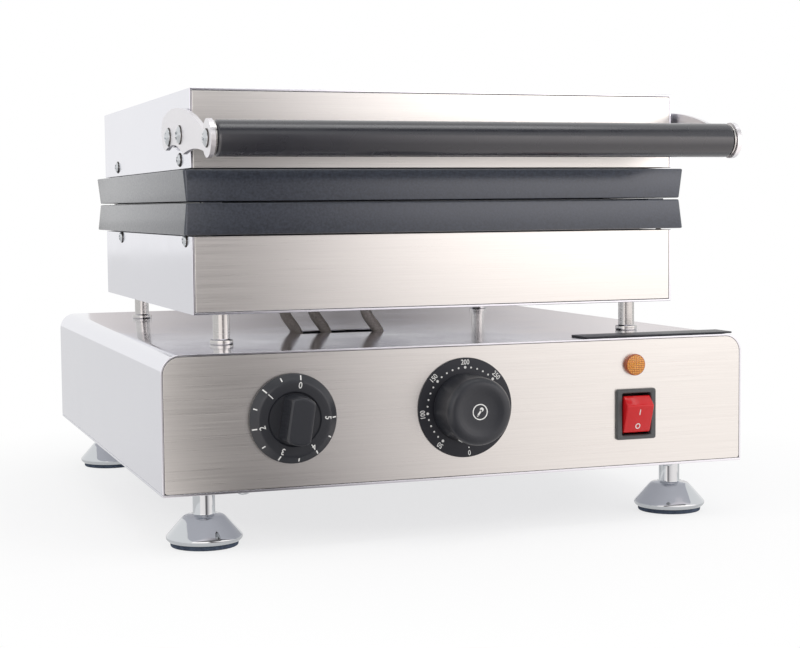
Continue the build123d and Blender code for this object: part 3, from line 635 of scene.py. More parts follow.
# Thermostat case: zinc plate with a cool spangle.
def zinc_plate():
    material, tree, shader = surface("Zinc-plated steel", linear("#b4b6ba"), 0.35, 1.0)
    wear_pattern(tree, shader, grain(tree, (6.0, 6.0, 6.0), 1.0), (linear("#a2a5ab"), linear("#c4c6c8")),
                 (0.28, 0.42))
    return material


# Painted shade under the screw heads: a thin dark ring round each head stands in for the shade at its edge;
# dark, dull, faintly brown.
def black_oxide():
    material, tree, shader = surface("Black-oxide steel washer", linear("#4a4642"), 0.5, 0.7)
    wear_pattern(tree, shader, grain(tree, (2.0, 2.0, 2.0)), gloss=(0.4, 0.6))
    return material


FINISHES = {}


def stock():
    """Every finish, made once from the colours in the panel."""
    looks = bpy.context.scene.ball_maker
    if not FINISHES:
        FINISHES.update(
            panel=panel_steel((*looks.steel_colour, 1.0)),
            side=side_steel((*looks.side_colour, 1.0)),
            satin=bracket_satin(),
            chrome=chrome_plate(),
            nickel=nickel_plate(),
            cast=cast_coat(),
            grip=grip_phenolic((*looks.grip_colour, 1.0)),
            black=moulded_black((*looks.knob_colour, 1.0)),
            frame=switch_frame(),
            red=red_polycarbonate((*looks.rocker_colour, 1.0)),
            amber=amber_acrylic((*looks.lamp_colour, 1.0)),
            rim=amber_rim(),
            disc=anodised_black(),
            ink=white_ink(),
            rubber=pad_rubber(),
            sleeve=glass_sleeve(),
            ceramic=steatite(),
            wool=mineral_wool(),
            sheath=heated_sheath(),
            zinc=zinc_plate(),
            washer=black_oxide(),
        )
    return FINISHES


# Control box

EDGE_PLATE_CORNER = 1.5
EDGE_PLATE_EDGE = 0.3


def make_box():
    """The bent cover, both panels, the floor plate and the thin plate on the front edge."""
    for node, finish in (("base_cover", "side"), ("front_panel", "panel"), ("rear_panel", "side"),
                         ("bottom_plate", "side")):
        sheet_copy(node, finish, "machine")
    low, high = box_mm("edge_plate")
    size, middle = high - low, (high + low) / 2
    outline = rounded_rectangle(size[0], size[1], EDGE_PLATE_CORNER)
    shell = Shell()
    shell.add_rings(stacked(outline, slab_profile(0, size[2], EDGE_PLATE_EDGE)),
                    standing(middle[0], middle[1], low[2]), caps=True)
    piece("edge_plate_eased", shell, ["disc"], "machine", ["edge_plate"])


NUT_ACROSS, NUT_HEIGHT, NUT_EDGE = 20.0, 6.0, 0.6
NOSE_RADIUS, NOSE_TOP = 8.0, 14.0
GLAND_BORE = 4.0


def gland_rings():
    """Rings of 48 points: a hexagon up the nut, circles up the nose with its lip, and down the bore.

    A point of the hexagon is half the width across flats over the cosine of the angle from its flat's middle.
    """
    a = round_angles(48)
    flat = NUT_ACROSS / 2 / np.cos(np.mod(a, FULL_TURN / 6) - FULL_TURN / 12)
    circle = np.ones_like(a)
    rings = [(flat - NUT_EDGE, 0), (flat, NUT_EDGE), (flat, NUT_HEIGHT - NUT_EDGE),
             (flat - NUT_EDGE, NUT_HEIGHT), (NOSE_RADIUS * circle, NUT_HEIGHT)]
    for offset, z in ((0.0, NUT_HEIGHT + 1.5), (0.5, NUT_HEIGHT + 2.0), (0.0, NUT_HEIGHT + 2.5),
                      (0.0, NOSE_TOP - 1.6), (-0.5, NOSE_TOP - 0.5), (-1.5, NOSE_TOP)):
        rings.append(((NOSE_RADIUS - 0.5 + offset) * circle, z))
    rings += [((GLAND_BORE + 0.5) * circle, NOSE_TOP), (GLAND_BORE * circle, NOSE_TOP - 0.5),
              (GLAND_BORE * circle, 0.0), (flat - NUT_EDGE, 0)]
    return np.stack([np.stack([r * np.cos(a), r * np.sin(a), np.full_like(a, z)], axis=-1) for r, z in rings])


def make_gland():
    """Hexagon nut and round nose with a lip, round the bore for a cable."""
    low, high = box_mm("cable_gland")
    foot = ((low[0] + high[0]) / 2, low[1], (low[2] + high[2]) / 2)
    shell = Shell()
    shell.add_rings(gland_rings(), axes_at(foot, (-1, 0, 0), UP))
    piece("cable_gland_nut", shell, ["black"], "machine", ["cable_gland"])


# Feet, posts and leads

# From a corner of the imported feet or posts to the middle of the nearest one.
FOOT_REACH = 22.0
POST_REACH = 6.8
PAD_TOP = 2.2
STEM_TOP = 34.5


def corner_middles(low, high, reach):
    """Middles (x, y) of four like pieces, from the corners of their packed box."""
    return [(x, y) for x in (low[0] + reach, high[0] - reach) for y in (low[1] + reach, high[1] - reach)]


def make_feet():
    """Chrome bells on rubber pads: widest just above the pad, a cone, a rounded shoulder and a stem."""
    stem = bpy.context.scene.ball_maker.stem_radius
    slope = smooth_path([(19.6, PAD_TOP), (21.4, 3.7), (21.95, 4.9), (21.5, 6.2), (18.9, 9.2), (15.2, 13.4),
                         (12.7, 16.2), (11.2, 17.4), (9.4, 17.9)], 6)
    bell = np.concatenate([[(0.0, PAD_TOP)], slope, [(7.2, 18.0), (6.6, 18.3), (stem, 18.9), (stem, STEM_TOP),
                                                     (0.0, STEM_TOP)]])
    pad = np.concatenate([[(0.0, 0.0)], arc((18.7, 0.7), 0.7, -90, 0, 5),
                          [(19.5, 1.9), (19.4, PAD_TOP), (0.0, PAD_TOP)]])
    bells, pads = Shell(), Shell()
    for x, y in corner_middles(*box_mm("feet"), FOOT_REACH):
        bells.add_rings(turned(bell), standing(x, y))
        pads.add_rings(turned(pad), standing(x, y))
    piece("foot_bells", bells, ["chrome"], "machine", ["feet"])
    piece("foot_rubbers", pads, ["rubber"], "machine", ["foot_pads"])


def make_posts():
    """Nickel posts: a wide foot with eased edges, a neck and a plain shank."""
    low, high = box_mm("posts")
    foot, top = low[2], high[2]
    profile = np.concatenate([
        [(0.0, foot)], arc((6.4, foot + 0.4), 0.4, -90, 0, 4), arc((6.3, foot + 2.3), 0.5, 0, 90, 4),
        [(5.3, foot + 2.8), (5.0, foot + 3.2), (5.0, top - 0.4), (4.7, top), (0.0, top)]])
    shell = Shell()
    for x, y in corner_middles(low, high, POST_REACH):
        shell.add_rings(turned(profile, 48), standing(x, y))
    piece("post_shanks", shell, ["nickel"], "machine", ["posts"])


# Where each lead crosses the box's top: x, and depth behind the front panel.
LEADS = ((-64.5, 136.0), (-46.0, 134.0), (-15.5, 118.0))
LEAD_RADIUS = 3.45
LEAD_LEAN_DEGREES = 20.0
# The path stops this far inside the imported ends, so that the leaning tube's rims stay inside them.
LEAD_END_INSET = 1.3
# A lead bends sideways by LEAD_BULGE at a height over the box, and runs straight again above and below that.
LEAD_BULGE, BULGE_HEIGHT, BULGE_HALF_LENGTH = 3.4, 12.0, 13.0
# Each lead also sways a millimetre to the front and back, by its own wave.
SWAY_RADIANS, SWAY_STEP = 5.0, 1.7


def make_leads():
    """Three sleeved leads: round tubes along a leaning path with a squared-cosine bulge over the box."""
    low, high = box_mm("heater_leads")
    deck = box_mm("base_cover")[1][2]
    lean = math.tan(math.radians(LEAD_LEAN_DEGREES))
    shell = Shell()
    for number, (x, depth) in enumerate(LEADS):
        z = np.linspace(low[2] + LEAD_END_INSET, high[2] - LEAD_END_INSET, 40)
        share = (z - z[0]) / (z[-1] - z[0])
        from_bulge = np.clip((z - deck - BULGE_HEIGHT) / BULGE_HALF_LENGTH, -1, 1)
        bulge = LEAD_BULGE * np.cos(from_bulge * math.pi / 2) ** 2
        sway = np.sin(share * math.pi) * np.sin(share * SWAY_RADIANS + number * SWAY_STEP)
        path = np.stack([x - (z - deck) * lean - bulge, PANEL_Y + depth + sway, z], axis=-1)
        shell.add_rings(tube(path, LEAD_RADIUS), standing(0, 0), caps=True)
    piece("lead_sleeves", shell, ["sleeve"], "machine", ["heater_leads"])


# Timer dial

# The face is level out to the bevel, whose edges are given as (radius, height).
BEVEL_TOP = (21.0, 5.8)
BEVEL_FOOT = (25.3, 2.2)
# Half the bar's width and length, and the power that squares its outline.
BAR_HALF = np.array([7.9, 14.2])
BAR_POWER = 22.0
BAR_TOP = 20.0
BAR_LEAN_DEGREES = -9.0
RIB_PITCH, RIB_DEPTH = 1.9, 0.25
# The printed numbers: how many, the angle from one to the next, where the first is, and their radius.
TIMER_NUMBERS = 6
TIMER_STEP_DEGREES = 56.0
TIMER_FIRST_DEGREES = 10.0
TIMER_TEXT_RADIUS = 19.2


def dial_lift(radius):
    """Height of the dial's face over the panel: level inside the bevel, then falling in a straight line."""
    return np.interp(radius, (BEVEL_TOP[0], BEVEL_FOOT[0]), (BEVEL_TOP[1], BEVEL_FOOT[1])) + 0.02


def bar_rings():
    """The grip bar: a rounded rectangle that narrows to a rounded top, with ribs along both long sides.

    The outline's reach at each angle is (side reach ^ -p + end reach ^ -p) ^ (-1/p). Ribs are cosine waves.
    """
    a = round_angles(160)
    side = BAR_HALF[0] / np.maximum(np.abs(np.cos(a)), 1e-6)
    reach = (side ** -BAR_POWER + BAR_HALF[1] ** -BAR_POWER) ** (-1 / BAR_POWER)
    ring = np.stack([reach * np.cos(a), reach * np.sin(a)], axis=-1)
    crown = [(0.9 + 1.3 * (1 - math.cos(t)), 18.5 + 1.5 * math.sin(t))
             for t in np.linspace(0, math.pi / 2, 7)]
    profile = np.array([(0.0, 4.8), (0.0, 5.9), (0.45, 12.0), (0.8, 17.6)] + crown
                       + [(3.2, BAR_TOP), (5.5, BAR_TOP)])
    rings = raised_rings(ring[None] * (1 - profile[:, :1, None] / BAR_HALF), profile[:, 1])
    ribs = RIB_DEPTH * (0.5 + 0.5 * np.cos(ring[:, 1] * FULL_TURN / RIB_PITCH)) * (np.abs(np.cos(a)) > 0.6)
    fade = np.interp(rings[:, 0, 2], (5.9, 7.0, 17.0, 18.5), (0.0, 1.0, 1.0, 0.0))
    rings[..., :2] -= (outline_normals(ring) * ribs[:, None])[None] * fade[:, None, None]
    lean = math.radians(BAR_LEAN_DEGREES)
    along, across = math.cos(lean), math.sin(lean)
    return rings @ np.array([[along, across, 0], [-across, along, 0], [0, 0, 1]])


def make_timer():
    """Dial with a rounded bevel, a ribbed bar to grip, and its printed numbers and marks."""
    x, _, z = joint_mm("timer_turn")
    axes = on_panel(x, z)
    number_height = bpy.context.scene.ball_maker.number_height
    face = np.concatenate([
        [(0.0, 0.6)], arc((24.9, 1.0), 0.4, -90, 0, 4),
        eased([(25.3, 1.6), (25.3, 2.3), (23.2, 3.95)], [0.5]),
        eased([(22.6, 4.45), BEVEL_TOP, (18.5, 5.8)], [1.0]),
        eased([(16.0, 5.8), (15.4, 5.8), (14.8, 5.0), (14.2, 5.0)], [0.3, 0.3], 4), [(0.0, 5.0)]])
    shell = Shell()
    shell.add_rings(turned(face, 128), axes)
    shell.add_rings(bar_rings(), axes, caps=True)
    for number in range(TIMER_NUMBERS):
        angle = TIMER_FIRST_DEGREES - TIMER_STEP_DEGREES * number
        shell.add(*lettering(str(number), number_height, angle, TIMER_TEXT_RADIUS, axes, dial_lift), 1)
        shell.add_rings(tick(angle, 22.0, 24.6, 0.75, dial_lift), axes, 1, caps=True)
        if number < TIMER_NUMBERS - 1:
            halfway = angle - TIMER_STEP_DEGREES / 2
            shell.add_rings(tick(halfway, 22.2, 24.2, 0.7, dial_lift), axes, 1, caps=True)
    piece("timer_dial_face", shell, ["black", "ink"], "timer_dial", ["timer_knob"])


# Thermostat

# Angle of each printed number in degrees clockwise from the top.
SCALE_MARKS = {"50": -143, "100": -96, "150": -47, "200": 0, "250": 47, "0": -185}
SCALE_TEXT_RADIUS = 26.5
SCALE_DOT_RADIUS = 23.4
# Small dots between the numbers: their step, the steps from one number to the next, and the last step.
DOT_STEP_DEGREES = 9.5
DOT_STEPS, LAST_STEP = 5, 21
DISC_TOP = 1.0
# The knob's pointer dot: its angle, its distance from the axis and its height over the panel.
POINTER_DEGREES, POINTER_RADIUS, POINTER_HEIGHT = -148.0, 19.1, 19.0


def make_scale():
    """Black scale disc with its print."""
    x, _, z = joint_mm("thermostat_turn")
    axes = on_panel(x, z)
    text_height = bpy.context.scene.ball_maker.scale_height
    rim = np.concatenate([[(4.0, 0.0), (28.7, 0.0)], arc((28.7, 0.7), 0.3, 0, 90, 4),
                          [(4.2, DISC_TOP), (4.0, 0.8), (4.0, 0.0)]])
    disc = Shell()
    disc.add_rings(turned(rim, 128), axes)
    for text, angle in SCALE_MARKS.items():
        disc.add(*lettering(text, text_height, angle, SCALE_TEXT_RADIUS, axes, level(DISC_TOP)), 1)
        size = 0.4 if text == "0" else 0.8
        disc.add_rings(dot(angle, SCALE_DOT_RADIUS, size, level(DISC_TOP)), axes, 1, caps=True)
    for step in range(1, LAST_STEP + 1):
        if step % DOT_STEPS:
            angle = SCALE_MARKS["50"] + step * DOT_STEP_DEGREES
            disc.add_rings(dot(angle, SCALE_DOT_RADIUS, 0.55, level(DISC_TOP)), axes, 1, caps=True)
    piece("thermostat_scale_print", disc, ["disc", "ink"], "machine", ["thermostat_scale"])


def dish(radius):
    """Height of the knob's dished cap over the panel."""
    return np.interp(radius, (0.0, 6.5, 10.0), (23.6, 23.7, 24.2)) + 0.02


def make_knob():
    """Round knob with a dished cap, a pointer dot on its side and a printed symbol in the dish."""
    x, _, z = joint_mm("thermostat_turn")
    axes = on_panel(x, z)
    side = np.array([(0.0, 1.6), (19.6, 1.6), (20.0, 2.0), (20.0, 4.0), (19.8, 12.0), (19.5, 20.9)])
    edge = arc((14.9, 21.0), 4.6, 0, 90, 16)
    bowl = smooth_path([(14.9, 25.6), (13.9, 25.5), (12.4, 25.0), (10.0, 24.2), (6.5, 23.7), (0.0, 23.6)], 5)
    knob = Shell()
    knob.add_rings(turned(np.concatenate([side, edge, bowl[1:]]), 128), axes)
    a = math.radians(POINTER_DEGREES)
    out = (math.sin(a), math.cos(a))
    sideways = placed((out[1], -out[0], 0), axes) - axes[0]
    centre = (POINTER_RADIUS * out[0], POINTER_RADIUS * out[1], POINTER_HEIGHT)
    spot = axes_at(placed(centre, axes), sideways, TO_USER)
    knob.add_rings(turned([(0, -0.6), (1.4, -0.6), (1.4, 0.35), (1.2, 0.5), (0, 0.5)], 24), spot, 1)
    add_symbol(knob, axes)
    piece("thermostat_knob_cap", knob, ["black", "ink"], "thermostat_dial",
          ["thermostat_knob"])


def add_symbol(shell, axes):
    """A thermometer in a ring, printed in the knob's dish: a thin ring, a stem and a bulb."""
    a = round_angles(64)
    ring = []
    for radius, top in ((4.0, -0.05), (4.0, 0.1), (4.6, 0.1), (4.6, -0.05), (4.0, -0.05)):
        ring.append(np.stack([radius * np.cos(a), radius * np.sin(a), dish(radius) + top + 0 * a], axis=-1))
    shell.add_rings(np.stack(ring), axes, 1)
    tilted = axes_at(placed((0.0, 0.0, float(dish(2.0))), axes), placed((-0.82, 0.57, 0.0), axes) - axes[0],
                     placed((-0.57, -0.82, 0.0), axes) - axes[0])
    for height, radius in ((-1.7, 1.15), (2.6, 0.5)):
        bulb = turned([(0, -0.1), (radius, -0.1), (radius, 0.12), (0, 0.12)], 24)
        shell.add_rings(bulb + (0.0, height, 0.0), tilted, 1)
    stem = stacked(rounded_rectangle(1.0, 4.2, 0.2, 2), [(0, -0.1), (0, 0.12)]) + (0.0, 0.6, 0.0)
    shell.add_rings(stem, tilted, 1, caps=True)


# Lamp and switch

LENS_RADIUS = 6.5
# Where the lens's rounded edge ends and its dome starts: radius, height and the dome's own rise.
DOME_RADIUS, DOME_FOOT, DOME_RISE = 5.86, 3.06, 0.85


def make_lamp():
    """Round lens: a low wall, a rounded edge and a slightly domed top."""
    low, high = box_mm("lamp_lens")
    axes = on_panel((low[0] + high[0]) / 2, (low[2] + high[2]) / 2)
    wall = np.concatenate([[(0.0, 0.0), (LENS_RADIUS, 0.0), (LENS_RADIUS, 2.0)],
                           arc((5.3, 2.0), 1.2, 0, 62, 6)])
    r = np.linspace(DOME_RADIUS, 0.0, 14)
    dome = np.stack([r, DOME_FOOT + DOME_RISE * (1 - (r / DOME_RADIUS) ** 2)], axis=-1)
    shell = Shell()
    shell.add_rings(turned(wall, 64), axes, 1)
    shell.add_rings(turned(np.concatenate([wall[-1:], dome]), 64), axes)
    piece("lamp_lens_cells", shell, ["amber", "rim"], "machine", ["lamp_lens"])


# The switch frame as (width, height, corner radius, level over the panel): body, bezel and the well in it.
SWITCH_ROWS = (
    (21.0, 27.4, 0.5, -24.0), (21.0, 27.4, 0.5, 0.0),
    (25.6, 30.1, 1.2, 0.0), (26.0, 30.5, 1.4, 0.3), (26.0, 30.5, 1.4, 1.3), (25.6, 30.1, 1.3, 1.9),
    (24.8, 29.3, 1.0, 2.2), (20.0, 26.4, 0.8, 2.2), (19.2, 25.6, 0.6, 1.9), (18.6, 25.0, 0.5, 1.0),
    (18.6, 25.0, 0.5, -13.0),
)
ROCKER_TILT_DEGREES = 19.7
ROCKER_FACE = 8.0
ROCKER_HALF_WIDTH = 8.8
ROCKER_MARK_HEIGHT = 3.6


def make_switch():
    """Frame with an eased face and a deep well, and the flat-faced rocker in it on its two pins."""
    x, pivot_y, z = joint_mm("rocker_tip")
    surround = Shell()
    surround.add_rings(rectangle_rings(SWITCH_ROWS), on_panel(x, z), caps=True)
    piece("switch_frame", surround, ["frame"], "machine", ["switch_body"])
    tilt = math.radians(ROCKER_TILT_DEGREES)
    up = (0.0, -math.sin(tilt), math.cos(tilt))
    pivot = axes_at((x, pivot_y, z), RIGHT, up)
    outline = eased([(0, -1.5), (11.0, -1.5), (12.0, 0.5), (8.9, ROCKER_FACE), (-8.9, ROCKER_FACE),
                     (-12.0, 0.5), (-11.0, -1.5), (0, -1.5)], (0.6, 0.6, 1.3, 1.3, 0.6, 0.6), 6)[:-1]
    side_on = stacked(outline, slab_profile(-ROCKER_HALF_WIDTH, ROCKER_HALF_WIDTH, 0.7))
    pin = turned([(0, -10.1), (1.2, -10.1), (1.2, 10.1), (0, 10.1)], 24)
    rocker = Shell()
    rocker.add_rings(side_on[..., [2, 0, 1]], pivot, caps=True)
    rocker.add_rings(pin[..., [2, 0, 1]], pivot)
    for text, height in (("I", 4.6), ("O", -4.6)):
        axes = axes_at(placed((0.0, height, 0.0), pivot), RIGHT, up)
        rocker.add(*lettering(text, ROCKER_MARK_HEIGHT, 0, 0.0, axes, level(ROCKER_FACE)), 1)
    piece("rocker_cap", rocker, ["red", "ink"], "switch_rocker", ["rocker"])


# Housings, plates and hinge

def make_housings():
    """The folded sheets round both plates, with brushed fronts and bright sides."""
    for node, finish, body in (("lower_housing", "side", "machine"), ("lower_front", "panel", "machine"),
                               ("lower_rear", "side", "machine"), ("lid_cover", "side", "lid"),
                               ("lid_front", "panel", "lid"), ("lid_rear", "side", "lid")):
        sheet_copy(node, finish, body)


# Cavities to a row, and the distances between their middles.
CAVITY_ROWS = (3, 4, 3)
PITCH_X, PITCH_Y = 70.0, 74.0
PLATE_X, PLATE_Y = 316.6, 302.6
SPIGOT_X, SPIGOT_Y = 276.8, 263.8
# The cells end this far inside the plate's outline, where its rounded edge starts.
RIM_WIDTH = 3.6
# The plate's outline is this far in front of the middle of its spigot.
PLATE_SHIFT = 0.5


def add_cavity(shell, centre, low, high, radius, axes):
    """One cavity in its rectangle of the face: rings in to a rounded lip and down a half ball.

    A ring's point is on the line from the rectangle's edge to the circle at the same angle.
    """
    run = np.linspace(0, 1, 20, endpoint=False)[:, None]
    corners = np.array([(high[0], low[1]), high, (low[0], high[1]), low, (high[0], low[1])]) - centre
    edge = np.concatenate([corner + (after - corner) * run
                           for corner, after in zip(corners[:-1], corners[1:])])
    angle = np.arctan2(edge[:, 1], edge[:, 0])
    ray = np.stack([np.cos(angle), np.sin(angle)], axis=-1)
    lip = radius + 1.0
    rows = [np.column_stack([edge * (1 - t) + ray * lip * t, 0 * angle]) for t in (0, 0.5, 0.93, 1)]
    for r, z in ((radius + 0.45, -0.12), (radius + 0.1, -0.45), (radius - 0.04, -1.1)):
        rows.append(np.column_stack([ray * r, z + 0 * angle]))
    for t in np.radians(np.linspace(7, 90, 15)):
        rows.append(np.column_stack([ray * radius * math.cos(t), -radius * math.sin(t) + 0 * angle]))
    shell.add_rings(np.stack(rows) + (*centre, 0.0), axes)


def plate_shell(axes, shift):
    """Cast plate with its face at z = 0 and its back below: face, cavities, drafted rim and spigot."""
    shell = Shell()
    radius = bpy.context.scene.ball_maker.cavity_radius
    inner_x, inner_y = PLATE_X / 2 - RIM_WIDTH, PLATE_Y / 2 - RIM_WIDTH
    bounds_y = [shift - inner_y, -0.5 * PITCH_Y, 0.5 * PITCH_Y, shift + inner_y]
    for row, count in enumerate(CAVITY_ROWS):
        middles = (np.arange(count) - (count - 1) / 2) * PITCH_X
        bounds_x = np.concatenate([[-inner_x], middles[1:] - PITCH_X / 2, [inner_x]])
        for x, left, right in zip(middles, bounds_x[:-1], bounds_x[1:]):
            add_cavity(shell, (x, (row - 1) * PITCH_Y), (left, bounds_y[row]), (right, bounds_y[row + 1]),
                       radius, axes)
    inset = [(RIM_WIDTH, 0.0), (2.7, 0.0)]
    inset += [(1.9 + 0.8 * (1 - math.sin(t)), -0.8 * (1 - math.cos(t)))
              for t in np.linspace(0.3, math.pi / 2, 5)]
    inset += [(0.1, -17.3), (0.35, -17.8), (0.9, -18.0)]
    rim = rectangle_rings([(PLATE_X - 2 * offset, PLATE_Y - 2 * offset, max(2.0 - offset * 0.6, 0.0), z)
                           for offset, z in inset])
    spigot = rectangle_rings([(SPIGOT_X + 2 * grow, SPIGOT_Y + 2 * grow, 1.0, z)
                              for grow, z in ((0.0, -18.0), (0.0, -23.6), (-0.4, -24.0))])
    # The outlines run backwards here, so that these faces look outwards like the cavities' own.
    rings = np.concatenate([rim + (0.0, shift, 0.0), spigot])[:, ::-1]
    shell.add_rings(rings, axes)
    shell.add(placed(rings[-1], axes), [list(range(rings.shape[1]))])
    return shell


# The low ridge between the plates: width and depth at its foot and at its top, outside and inside.
RIDGE_CORNER = 0.6
RIDGE_OUTER, RIDGE_OUTER_TOP = (292.6, 278.6), (292.2, 278.2)
RIDGE_INNER, RIDGE_INNER_TOP = (286.6, 272.6), (287.0, 273.0)
PAD_X, PAD_Y, PAD_CORNER = 11.0, 6.0, 0.8


def make_pads():
    """The four pads and the low ridge that keep the plates apart."""
    low, high = box_mm("contact_pads")
    rise = high[2] - low[2]
    shoulder = rise - 0.2
    rows = [(*RIDGE_OUTER, RIDGE_CORNER, 0.0), (*RIDGE_OUTER, RIDGE_CORNER, shoulder),
            (*RIDGE_OUTER_TOP, RIDGE_CORNER, rise), (*RIDGE_INNER_TOP, RIDGE_CORNER, rise),
            (*RIDGE_INNER, RIDGE_CORNER, shoulder), (*RIDGE_INNER, RIDGE_CORNER, 0.0)]
    pads = Shell()
    pads.add_rings(rectangle_rings(rows), standing(0, (low[1] + high[1]) / 2, low[2]))
    pad = stacked(rounded_rectangle(PAD_X, PAD_Y, PAD_CORNER), [(0.0, 0.0), (0.0, 0.5), (-0.2, rise)])
    for x in (low[0] + PAD_X / 2, high[0] - PAD_X / 2):
        for y in (low[1] + PAD_Y / 2, high[1] - PAD_Y / 2):
            pads.add_rings(pad, standing(x, y, low[2]), caps=True)
    piece("contact_pads_cast", pads, ["cast"], "machine", ["contact_pads"])


def make_plates():
    """Both cast plates, face to face, and what keeps them apart."""
    low, high = box_mm("lower_housing")
    middle = (low[1] + high[1]) / 2
    lower = standing(0, middle, box_mm("lower_plate")[1][2])
    upper = axes_at((0, middle, box_mm("upper_plate")[0][2]), RIGHT, TO_USER)
    for name, axes, shift, body in (("lower_plate", lower, -PLATE_SHIFT, "machine"),
                                    ("upper_plate", upper, PLATE_SHIFT, "lid")):
        piece(name + "_cast", plate_shell(axes, shift), ["cast"], body, [name], ordered=True)
    make_pads()


# From the middle of a hinge pin to the end of its head.
PIN_END = 11.1


def make_hinge():
    """Hinge leaves with eased edges and turned pins with rounded heads."""
    for side in ("left", "right"):
        sheet_copy(f"hinge_lug_{side}", "satin", "machine")
        sheet_copy(f"hinge_arm_{side}", "satin", "lid")
    low, high = box_mm("hinge_pins")
    y, z = joint_mm("lid_hinge")[1:]
    half = np.array([(4.0, 0.0), (4.0, 8.6), (6.1, 8.6), (6.5, 8.9), (6.5, 10.1), (6.2, 10.7), (5.2, PIN_END),
                     (0.0, PIN_END)])
    profile = np.concatenate([(half * (1, -1))[::-1], half[1:]])
    shell = Shell()
    for x in (low[0] + PIN_END, high[0] - PIN_END):
        shell.add_rings(turned(profile, 48), axes_at((x, y, z), BACK, UP))
    piece("hinge_pins_turned", shell, ["nickel"], "machine", ["hinge_pins"])


# Handle and screws

# Radius of the rounding at the grip's ends, and how far before the end it starts.
GRIP_EDGE, GRIP_EDGE_START = 2.0, 3.2


def make_handle():
    """Black grip with rounded ends and a bright ring at each, and both steel brackets."""
    low, high = box_mm("handle_grip")
    middle, half = (low + high) / 2, (high[0] - low[0]) / 2
    axes = axes_at((0, middle[1], middle[2]), BACK, UP)
    radius = (high[2] - low[2]) / 2
    straight = half - GRIP_EDGE_START
    end = np.concatenate([[(radius, 0.0), (radius, straight)],
                          arc((radius - GRIP_EDGE, straight), GRIP_EDGE, 0, 75, 8)])
    tip = end[-1]
    ring = np.concatenate([[tip], [(radius - 0.7, tip[1] + 0.1), (radius - 0.5, tip[1] + 0.35),
                                   (radius - 0.5, half - 0.3), (radius - 0.8, half), (0.0, half)]])
    shell = Shell()
    shell.add_rings(turned(np.concatenate([(end * (1, -1))[::-1], end[1:]]), 96), axes)
    for side in (1, -1):
        shell.add_rings(turned(ring * (1, side), 96), axes, 1)
    piece("grip_bar", shell, ["grip", "nickel"], "lid", ["handle_grip"])
    for side in ("left", "right"):
        sheet_copy(f"handle_bracket_{side}", "satin", "lid", 0.5)


def add_screw(shell, centre, outward, radius, height, turn=0.0):
    """Domed cross-head screw: a cap over (r, a) with a plus-shaped recess where two crossed bands cut it, on
    a thin dark ring of painted shade.
    """
    outward = np.array(outward, float)
    right = RIGHT if abs(outward[2]) > 0.5 else np.cross(UP, outward)
    axes = axes_at(centre, right, np.cross(outward, right))
    r = np.concatenate([np.linspace(0, radius * 0.62, 22), np.linspace(radius * 0.68, radius, 8)])[:, None]
    a = round_angles(96)[None]
    x, y = r * np.cos(a + turn), r * np.sin(a + turn)
    dome = height * np.sqrt(np.clip(1.12 - (r / radius) ** 2, 0, 1)) + 0 * a
    near, far = np.minimum(abs(x), abs(y)), np.maximum(abs(x), abs(y))
    cut = np.clip((radius * 0.16 - near) / 0.16, 0, 1) * np.clip((radius * 0.6 - far) / 0.25, 0, 1)
    cap = np.stack([r * np.cos(a), r * np.sin(a), dome - cut * height * 0.8], axis=-1)
    foot = cap[-1:] * (1, 1, 0)
    # A thin dark ring under the head: painted shade at the head's edge.
    rim = radius + 0.5
    washer = turned([(0.0, 0.0), (rim, 0.0), (rim, 0.35), (radius + 0.3, 0.5), (0.0, 0.5)], 64)
    shell.add_rings(np.concatenate([cap, foot]), axes)
    shell.add(placed(foot[0], axes), [list(range(a.size))])
    shell.add_rings(washer, axes, 1)


# Screws on the housings' sides as (y, z), and the two under the box as (x, distance from its front edge).
LOWER_SCREWS = ((-127.8, 174.0), (83.6, 172.9))
LID_SCREWS = ((-116.2, 220.5), (93.9, 221.3))
UNDER_X, UNDER_INSET = 133.0, 7.0
# Screws on a bracket: behind and above the grip's axis, and their radius.
BRACKET_SCREWS = ((0.0, 0.0, 4.6), (68.3, 4.5, 5.0), (99.3, 4.5, 5.0))
HEAD_HEIGHT, BRACKET_HEAD_HEIGHT = 2.0, 2.4
UNDER_HEAD_RADIUS = 3.8


def make_screws():
    """Cross-head screws on the sides, under the box's front edge and on the handle brackets."""
    radius = bpy.context.scene.ball_maker.screw_radius
    wall = box_mm("lower_housing")[1][0]
    under = box_mm("bottom_plate")[0]
    outer = box_mm("handle_bracket_right")[1][0]
    grip = box_mm("handle_grip")
    axis = (grip[0] + grip[1]) / 2
    fixed, lid = Shell(), Shell()
    for y, z in LOWER_SCREWS:
        for side in (-1, 1):
            add_screw(fixed, (side * wall, y, z), (side, 0, 0), radius, HEAD_HEIGHT, 0.5 + side)
    for side in (-1, 1):
        centre = (side * UNDER_X, under[1] + UNDER_INSET, under[2])
        add_screw(fixed, centre, (0, 0, -1), UNDER_HEAD_RADIUS, HEAD_HEIGHT, 0.3)
    for y, z in LID_SCREWS:
        for side in (-1, 1):
            add_screw(lid, (side * wall, y, z), (side, 0, 0), radius, HEAD_HEIGHT, 0.9 * side)
    for back, rise, size in BRACKET_SCREWS:
        for side in (-1, 1):
            centre = (side * outer, axis[1] + back, axis[2] + rise)
            add_screw(lid, centre, (side, 0, 0), size, BRACKET_HEAD_HEIGHT, 0.4 + back)
    piece("screws_fixed", fixed, ["chrome", "washer"], "machine")
    piece("screws_lid", lid, ["chrome", "washer"], "lid")


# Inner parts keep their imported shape

INNER = {
    "terminal_block": "ceramic", "timer_body": "black", "timer_shaft": "nickel", "thermostat_body": "zinc",
    "thermostat_shaft": "nickel", "lamp_body": "black", "lower_heater": "sheath", "upper_heater": "sheath",
    "lower_clamps": "nickel", "upper_clamps": "nickel", "lower_wool": "wool", "upper_wool": "wool",
}


